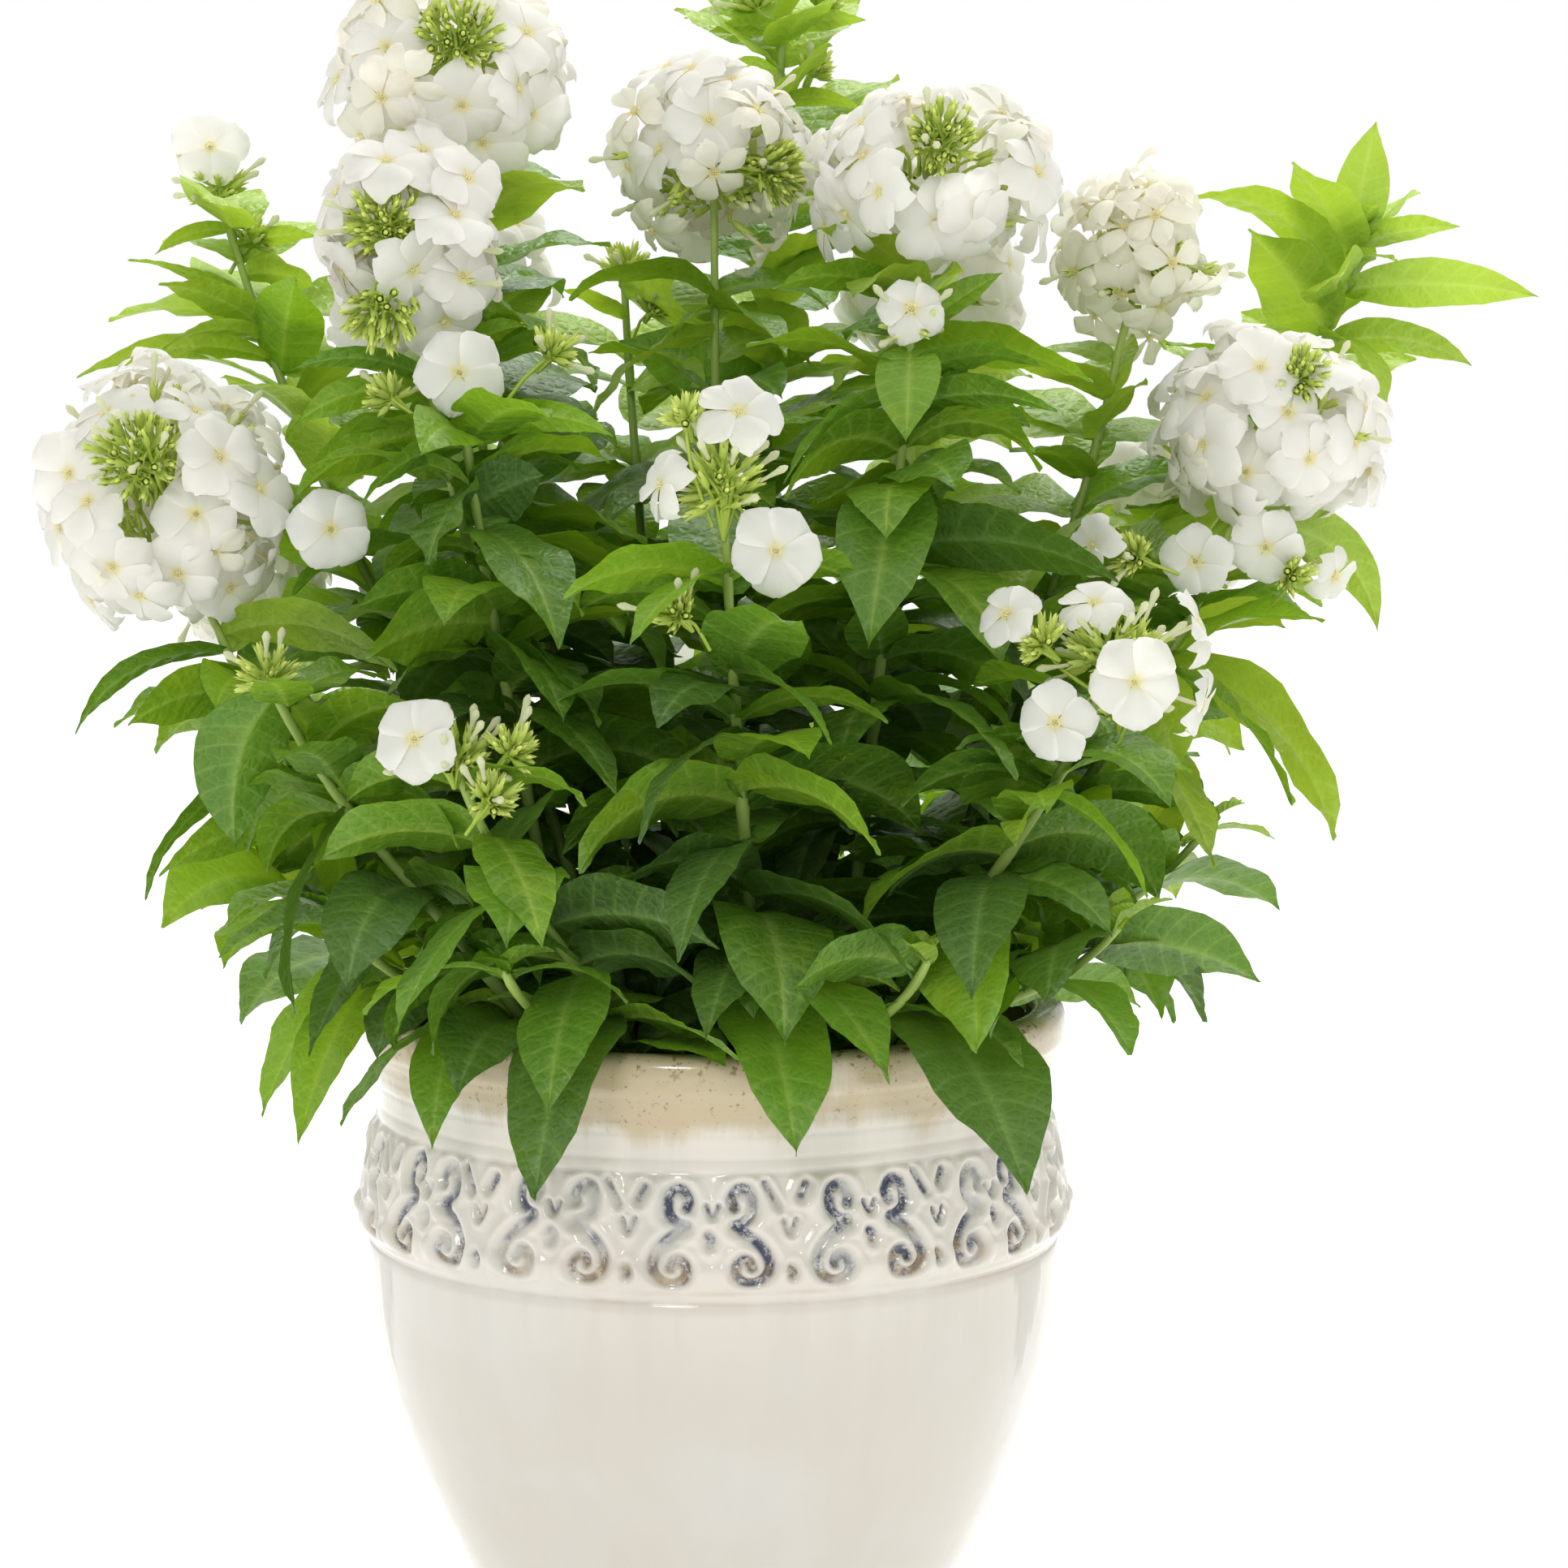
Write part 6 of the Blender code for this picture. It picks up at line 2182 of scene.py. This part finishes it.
@dataclass
class Compost:
    """The compost's rough top and the crumbs that lie on it."""

    radius: float = 129.5 * MM
    top: float = 262 * MM
    dome: float = 3 * MM
    rings: int = 34
    spokes: int = 120
    crumbs: int = 500
    finish: CompostFinish = CompostFinish()
    seed: int = 3100

    def height(self, x: float, y: float) -> float:
        """The surface's height at a place.

        Args:
            x: The place along X.
            y: The place along Y.

        Returns:
            The height.
        """
        rough = noise.noise(Vector((x, y, 0.0)) * 60) * 3.2 + noise.noise(Vector((x, y, 1.0)) * 190) * 1.6
        away = math.hypot(x, y) / self.radius
        return self.top - self.dome * away * away - 1.5 * MM + rough * MM

    def build(self) -> bpy.types.Object:
        """Makes the compost, down into the pot.

        Returns:
            The piece.
        """
        sheet = Sheet()
        points = [(0.0, 0.0, self.height(0, 0))]
        for ring in range(1, self.rings + 1):
            reach = self.radius * ring / self.rings
            for spoke in range(self.spokes):
                angle = math.tau * spoke / self.spokes
                x, y = reach * math.cos(angle), reach * math.sin(angle)
                points.append((x, y, self.height(x, y)))
        points += [(x, y, z - 12 * MM) for x, y, z in points[-self.spokes:]]
        points.append((0.0, 0.0, self.top - 16 * MM))
        rings = self.rings + 1
        faces = [tuple(1 + c for c in face) for face in grid_faces(rings, self.spokes, closed=True)]
        faces += [(0, 1 + s, 1 + (s + 1) % self.spokes) for s in range(self.spokes)]
        last, under = 1 + (rings - 1) * self.spokes, len(points) - 1
        faces += [(under, last + (s + 1) % self.spokes, last + s) for s in range(self.spokes)]
        sheet.add(np.array(points), faces, np.zeros((len(points), 3)))
        dice = random.Random(self.seed)
        for _ in range(self.crumbs):
            angle, reach = dice.uniform(0, math.tau), self.radius * math.sqrt(dice.random()) * 0.97
            x, y = reach * math.cos(angle), reach * math.sin(angle)
            size = dice.uniform(0.8, 2.6) * MM
            shape = bmesh.new()
            bmesh.ops.create_icosphere(shape, subdivisions=1, radius=size)
            for vertex in shape.verts:
                vertex.co *= dice.uniform(0.7, 1.25)
            shape.transform(Matrix.Translation((x, y, self.height(x, y) + size * 0.3)))
            crumb, crumb_faces = HeadRule.solid(shape)
            sheet.add(np.array(crumb), crumb_faces, np.zeros((len(crumb), 3)))
        return sheet.build("compost_bed", self.finish.material(), ["compost"], "compost")


@dataclass
class Stroke:
    """One groove of the scroll band: its line and half width, in millimetres from the pattern's middle."""

    line: tuple[Pair, ...]
    width: float


@dataclass
class Pot:
    """The turned pot, its rim rings and the band of scrolls pressed into its shoulder."""

    columns: int = 840
    foot_radius: float = 74 * MM
    foot_chamfer: float = 3 * MM
    shoulder_radius: float = 143.8 * MM
    shoulder_height: float = 190 * MM
    wall: float = 12 * MM
    floor: float = 18 * MM
    rim_inner: float = 130 * MM
    rim_rings: tuple[Pair, ...] = (
        (130.2, 281), (131.4, 287), (134, 289.6), (137.5, 290), (141.5, 289.6), (144.4, 287.6),
        (145.5, 284), (145.6, 280), (145.3, 276), (143.6, 272.6), (142.3, 270), (141.6, 266), (141, 262),
        (139.9, 257), (139.4, 252), (139.6, 246), (140.6, 240), (142.2, 232), (143.7, 225), (144.8, 219),
        (145.5, 214), (145.9, 210), (146.9, 207.4), (147.2, 205), (146.9, 202.4), (145.9, 199),
        (144.9, 196.4), (143.7, 194), (143.4, 192.6), (143.9, 191))
    grooves: tuple[Triple, ...] = (
        (273.4, 1.0, 0.5), (264.5, 0.9, 0.35), (258.5, 1.0, 0.4), (249.0, 1.1, 0.35), (243.2, 0.9, 0.45),
        (197.2, 1.0, 0.35), (192.8, 1.1, 0.5))      # height, half width and depth, mm
    repeats: int = 14
    band_low: float = 199.5
    groove_depth: float = 2.5
    ridge: float = 1.7
    scroll: tuple[Stroke, ...] = (
        Stroke(((-8.4, 31.2), (-7.4, 34.6), (-10.4, 38.6), (-14.4, 37.4), (-15.8, 33.0), (-15.2, 28.6),
                (-12.0, 25.4), (-9.0, 24.2)), 2.7),
        Stroke(((-9.2, 24.2), (-12.6, 21.6), (-17.6, 17.4), (-21.4, 12.6), (-22.6, 7.6), (-20.0, 3.2),
                (-15.4, 1.4), (-10.8, 3.2), (-9.2, 7.0), (-11.2, 10.2), (-14.4, 10.2), (-15.6, 7.8)), 2.6))
    drops: tuple[Stroke, ...] = (
        Stroke(((-0.6, 19.6), (0.8, 18.0), (0.2, 16.4)), 2.3),
        Stroke(((22.0, 40.2), (24.4, 36.0), (27.4, 31.2)), 1.6),
        Stroke(((38.4, 38.4), (37.2, 36.2), (36.0, 34.0)), 2.2),
        Stroke(((29.4, 25.0), (31.8, 20.2), (34.6, 25.4)), 1.2),
        Stroke(((31.4, 7.4), (32.2, 6.0), (31.8, 4.8)), 2.1),
        Stroke(((-2.2, 31.0), (0.4, 26.6), (3.0, 31.0)), 1.3))
    # thick runs of glaze below the band: angle in degrees, lowest point and half width in mm
    runs: tuple[Triple, ...] = (
        (202, 146, 9.0), (-27, 144, 14.0), (88, 158, 8.0), (130, 168, 5.0))
    run_top: float = 189
    girth_radius: float = 145.5        # where the band's pattern is laid out, mm
    softness: float = 0.95             # of a groove's sides
    edge_out: float = 2.0              # from a groove to the ridge beside it
    finish: GlazeFinish = GlazeFinish()
    seed: int = 41

    def body_radius(self, height: float) -> float:
        """The plain body swells from the foot to the shoulder as a quarter of a sine wave."""
        swell = math.sin(math.pi / 2 * height / self.shoulder_height)
        return self.foot_radius + (self.shoulder_radius - self.foot_radius) * swell

    def profile(self) -> np.ndarray:
        """The outline from the inner floor over the lip and down to the foot, radius and height.

        Returns:
            The outline, one row for each point.
        """
        inside = [(0.0005, self.floor)]
        for height in (self.floor, 70 * MM, 130 * MM, self.shoulder_height):
            inside.append((self.body_radius(height) - self.wall, height))
        inside += [(self.rim_inner, 232 * MM), (self.rim_inner, 262 * MM)]
        rim = catmull([(r, z) for r, z in self.rim_rings], 3) * MM
        dense = []
        for before, after in zip(rim, rim[1:]):
            pieces = max(1, round(abs(after[1] - before[1]) / (0.95 * MM)))
            dense += [before + (after - before) * i / pieces for i in range(pieces)]
        body = [(self.body_radius(h), h) for h in np.linspace(187 * MM, self.foot_chamfer, 26)]
        foot = [(self.foot_radius - 0.4 * MM, 1.0 * MM), (self.foot_radius - self.foot_chamfer, 0.0),
                (0.0005, 0.0)]
        return np.array(inside + [tuple(p) for p in dense] + body + foot)

    def distance(self, across: np.ndarray, up: np.ndarray, stroke: Stroke) -> np.ndarray:
        """How far points lie from a groove's line, less its half width, in millimetres.

        Args:
            across: Places round the pot, in millimetres.
            up: Heights, in millimetres.
            stroke: The groove.

        Returns:
            The distances, of the groove's half width.
        """
        line = catmull(list(stroke.line), 5)
        best = np.full(across.shape, 1e9)
        for a, b in zip(line, line[1:]):
            run = b - a
            share = np.clip(((across - a[0]) * run[0] + (up - a[1]) * run[1]) / (run @ run), 0, 1)
            best = np.minimum(best, np.hypot(across - a[0] - share * run[0], up - a[1] - share * run[1]))
        return best / stroke.width

    def relief(self, angles: np.ndarray, heights: np.ndarray) -> tuple[np.ndarray, np.ndarray]:
        """The scroll band's height above the plain turning, and where glaze pools in it.

        Args:
            angles: Round the pot, one for each point.
            heights: In millimetres.

        Returns:
            Raised height in millimetres, and pooling from 0 to 1.
        """
        dice = random.Random(self.seed)
        girth = self.girth_radius * math.tau
        period = girth / self.repeats
        raised = np.zeros(angles.shape)
        pooled = np.zeros(angles.shape)
        around = (angles / math.tau * girth) % girth
        up = heights - self.band_low
        for k in range(self.repeats):
            middle = (k + 0.5) * period + dice.uniform(-1.2, 1.2)
            across = (around - middle + girth / 2) % girth - girth / 2
            near = (np.abs(across) < period * 0.75) & (up > -3) & (up < 46)
            x, y = across[near], up[near] + dice.uniform(-0.8, 0.8)
            groove = np.zeros(x.shape)
            edge = np.zeros(x.shape)
            for mirrored in (1.0, -1.0):
                skew = dice.uniform(-0.06, 0.06)
                for stroke in self.scroll:
                    d = self.distance(x * mirrored + skew * y, y * dice.uniform(0.97, 1.03), stroke)
                    groove = np.maximum(groove, np.exp(-(d / self.softness) ** 2))
                    edge = np.maximum(edge, np.exp(-((d - self.edge_out) / self.softness) ** 2))
            for stroke in self.drops:
                d = self.distance(x + dice.uniform(-0.8, 0.8), y + dice.uniform(-0.8, 0.8), stroke)
                groove = np.maximum(groove, np.exp(-(d / self.softness) ** 2) * 0.9)
                edge = np.maximum(edge, np.exp(-((d - self.edge_out) / self.softness) ** 2) * 0.8)
            depth = self.ridge * edge * (1 - groove) - self.groove_depth * groove
            strength = dice.uniform(0.55, 1.0)
            raised[near] += depth
            pooled[near] = np.maximum(pooled[near], groove * strength)
        fade = np.clip((up + 2.0) / 3.0, 0, 1) * np.clip((44.5 - up) / 3.0, 0, 1)
        return raised * fade, pooled * fade

    def build(self) -> bpy.types.Object:
        """Makes the pot.

        Returns:
            The piece.
        """
        outline = self.profile()
        rows = len(outline)
        angles = np.tile(np.arange(self.columns) * math.tau / self.columns, (rows, 1))
        radii = np.tile(outline[:, 0:1], (1, self.columns)) / MM
        heights = np.tile(outline[:, 1:2], (1, self.columns)) / MM
        outer = np.tile((np.arange(rows) > 9)[:, None], (1, self.columns)) & (radii > 100)
        raised, pooled = self.relief(angles, heights)
        for height, half, depth in self.grooves:
            wobble = height + 0.35 * np.sin(angles * 3 + height) + 0.2 * np.sin(angles * 7 + height * 2)
            raised = raised - depth * np.exp(-((heights - wobble) / half) ** 2)
            pooled = np.maximum(pooled, 0.30 * np.exp(-((heights - wobble) / half) ** 2)
                                * (0.5 + 0.5 * np.sin(angles * 5 + height)))
        uneven = 0.35 * np.sin(angles * 2 + 1.0) + 0.22 * np.sin(angles * 3 + heights / 40) \
            + 0.12 * np.sin(angles * 9 + heights / 17)
        turning = 0.10 * np.sin(heights / 2.1 + 2 * np.sin(angles)) * (heights < 190)
        worn_rim = 0.85 + 0.25 * np.sin(angles * 4 + 1) * np.sin(angles * 7)
        thin = np.clip((heights - 246) / 22, 0, 1) * worn_rim
        run = np.zeros(angles.shape)
        for middle, low, wide in self.runs:
            across = ((angles - math.radians(middle) + math.pi) % math.tau - math.pi) * 143
            ragged = low + 3 * np.sin(across * 0.5) + 2 * np.sin(across * 1.3 + 1)
            taper = np.clip((heights - ragged) / (self.run_top - low), 0, 1) ** 0.6
            inside = np.clip((wide * taper - np.abs(across + 1.5 * np.sin(heights / 6))) / 1.4, 0, 1)
            ends = np.clip((heights - ragged) / 4, 0, 1), np.clip((self.run_top - heights) / 2, 0, 1)
            inside = inside * ends[0] * ends[1]
            run = np.maximum(run, inside)
        radii = radii + np.where(outer, raised + uneven + turning + 0.35 * run, 0.0)
        places = np.stack([radii * np.cos(angles), radii * np.sin(angles), heights], axis=-1)
        points = places.reshape(-1, 3) * MM
        worn = np.where(heights < 40, 0.55 * np.clip((16 - heights) / 14, 0, 1), 0.6)
        thinned = np.where(outer, np.clip(thin, 0, 1), worn)
        values = np.stack([np.where(outer, pooled, 0), thinned, run], axis=-1)
        sheet = Sheet()
        faces = grid_faces(rows, self.columns, closed=True)
        last_row = range((rows - 1) * self.columns, rows * self.columns)
        faces += [tuple(range(self.columns)), tuple(reversed(last_row))]
        sheet.add(points, faces, values.reshape(-1, 3))
        return sheet.build("glazed_pot", self.finish.material(), ["pot"], "glaze")


# ---- light and camera


@dataclass(frozen=True)
class Lamp:
    """A soft box: where it stands, what it shines at, its width and height, and its watts."""

    name: str
    place: Triple
    aim: Triple
    size: Pair
    power: float

    def build(self) -> None:
        """Sets it up."""
        lamp = bpy.data.lights.new(self.name, "AREA")
        lamp.shape = "RECTANGLE"
        lamp.size, lamp.size_y = self.size
        lamp.energy = self.power
        box = bpy.data.objects.new(self.name, lamp)
        box.location = self.place
        box.rotation_euler = (Vector(self.aim) - Vector(self.place)).to_track_quat("-Z", "Y").to_euler()
        bpy.context.scene.collection.objects.link(box)


@dataclass
class Studio:
    """A pale floor, soft light all round and a camera level with the flowers."""

    camera_place: Triple = (0.029, -2.0, 0.618)
    tilt: float = 6.8                  # degrees down from level
    sensor: float = 36.0
    frame_pixels: int = 1932
    focal_pixels: int = 6000
    surround: float = 0.79             # the soft light from all round
    backdrop: float = 1.0              # how bright the plain background looks
    floor_half: float = 6.0
    floor_drop: float = 0.4 * MM
    floor_finish: FloorFinish = FloorFinish()
    lamps: tuple[Lamp, ...] = (
        Lamp("key", (-0.45, -2.2, 1.55), (0, 0, 0.4), (0.42, 0.42), 11),
        Lamp("left", (-1.7, -0.5, 1.1), (0, 0, 0.5), (0.5, 0.9), 0.8),
        Lamp("right", (1.7, -0.6, 1.1), (0, 0, 0.5), (0.5, 0.9), 1.6),
        Lamp("top", (0.3, 1.0, 2.1), (0, 0, 0.5), (1.4, 1.0), 30))

    def build(self) -> None:
        """Makes the floor, the light and the camera."""
        scene = bpy.context.scene
        scene.view_settings.view_transform = "Standard"
        half = self.floor_half
        corners = [(x * half, y * half, -self.floor_drop) for x, y in ((-1, -1), (1, -1), (1, 1), (-1, 1))]
        mesh = bpy.data.meshes.new("floor")
        mesh.from_pydata(corners, [], [(0, 1, 2, 3)])
        mesh.materials.append(self.floor_finish.material())
        floor = bpy.data.objects.new("floor", mesh)
        scene.collection.objects.link(floor)
        floor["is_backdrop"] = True
        world = bpy.data.worlds.new("studio")
        scene.world = world
        world.use_nodes = True
        tree = world.node_tree
        background = tree.nodes["Background"]
        background.inputs["Color"].default_value = (1.0, 1.0, 1.0, 1.0)
        seen = tree.nodes.new("ShaderNodeLightPath").outputs["Is Camera Ray"]
        blend = tree.nodes.new("ShaderNodeMapRange")
        blend.inputs["To Min"].default_value = self.surround
        blend.inputs["To Max"].default_value = self.backdrop
        tree.links.new(seen, blend.inputs["Value"])
        tree.links.new(blend.outputs[0], background.inputs["Strength"])
        for lamp in self.lamps:
            lamp.build()
        lens = bpy.data.cameras.new("camera")
        lens.sensor_width = self.sensor
        lens.lens = self.focal_pixels / self.frame_pixels * self.sensor
        camera = bpy.data.objects.new("camera", lens)
        camera.location = self.camera_place
        camera.rotation_euler = (math.radians(90 - self.tilt), 0, 0)
        scene.collection.objects.link(camera)
        scene.camera = camera


# ---- the whole


def cad_solid(name: str) -> Solid:
    """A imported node's points and faces."""
    mesh = frame["nodes"][name].data
    return [v.co.copy() for v in mesh.vertices], [tuple(p.vertices) for p in mesh.polygons]


def main() -> None:
    """Builds the pot, the plant and the studio, in order."""
    logging.basicConfig(level=logging.INFO, format="%(name)s: %(message)s")
    low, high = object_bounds()
    Studio().build()
    space = Space()
    for name in ("pot", "compost"):
        space.add(name, *cad_solid(name))
    paths = {stem.name: StemPath(stem) for stem in STEMS}
    for name, path in paths.items():
        radii = [path.radius(mark) + GAP for mark in path.marks]
        space.add(name, *HeadRule.tube(path.points, radii, 1))
    heads = Heads()
    foliage = Foliage()
    for site in sites(paths, space, heads.rule.seed):
        heads.rule.grow(site)
    leaves = foliage.grow(paths, space, low, high)
    flowers = heads.grow(space)
    Pot().build()
    Compost().build()
    StemSet().build(paths)
    foliage.build(leaves)
    heads.build(flowers)
    bpy.context.view_layer.update()


if __name__ == "__main__":
    main()
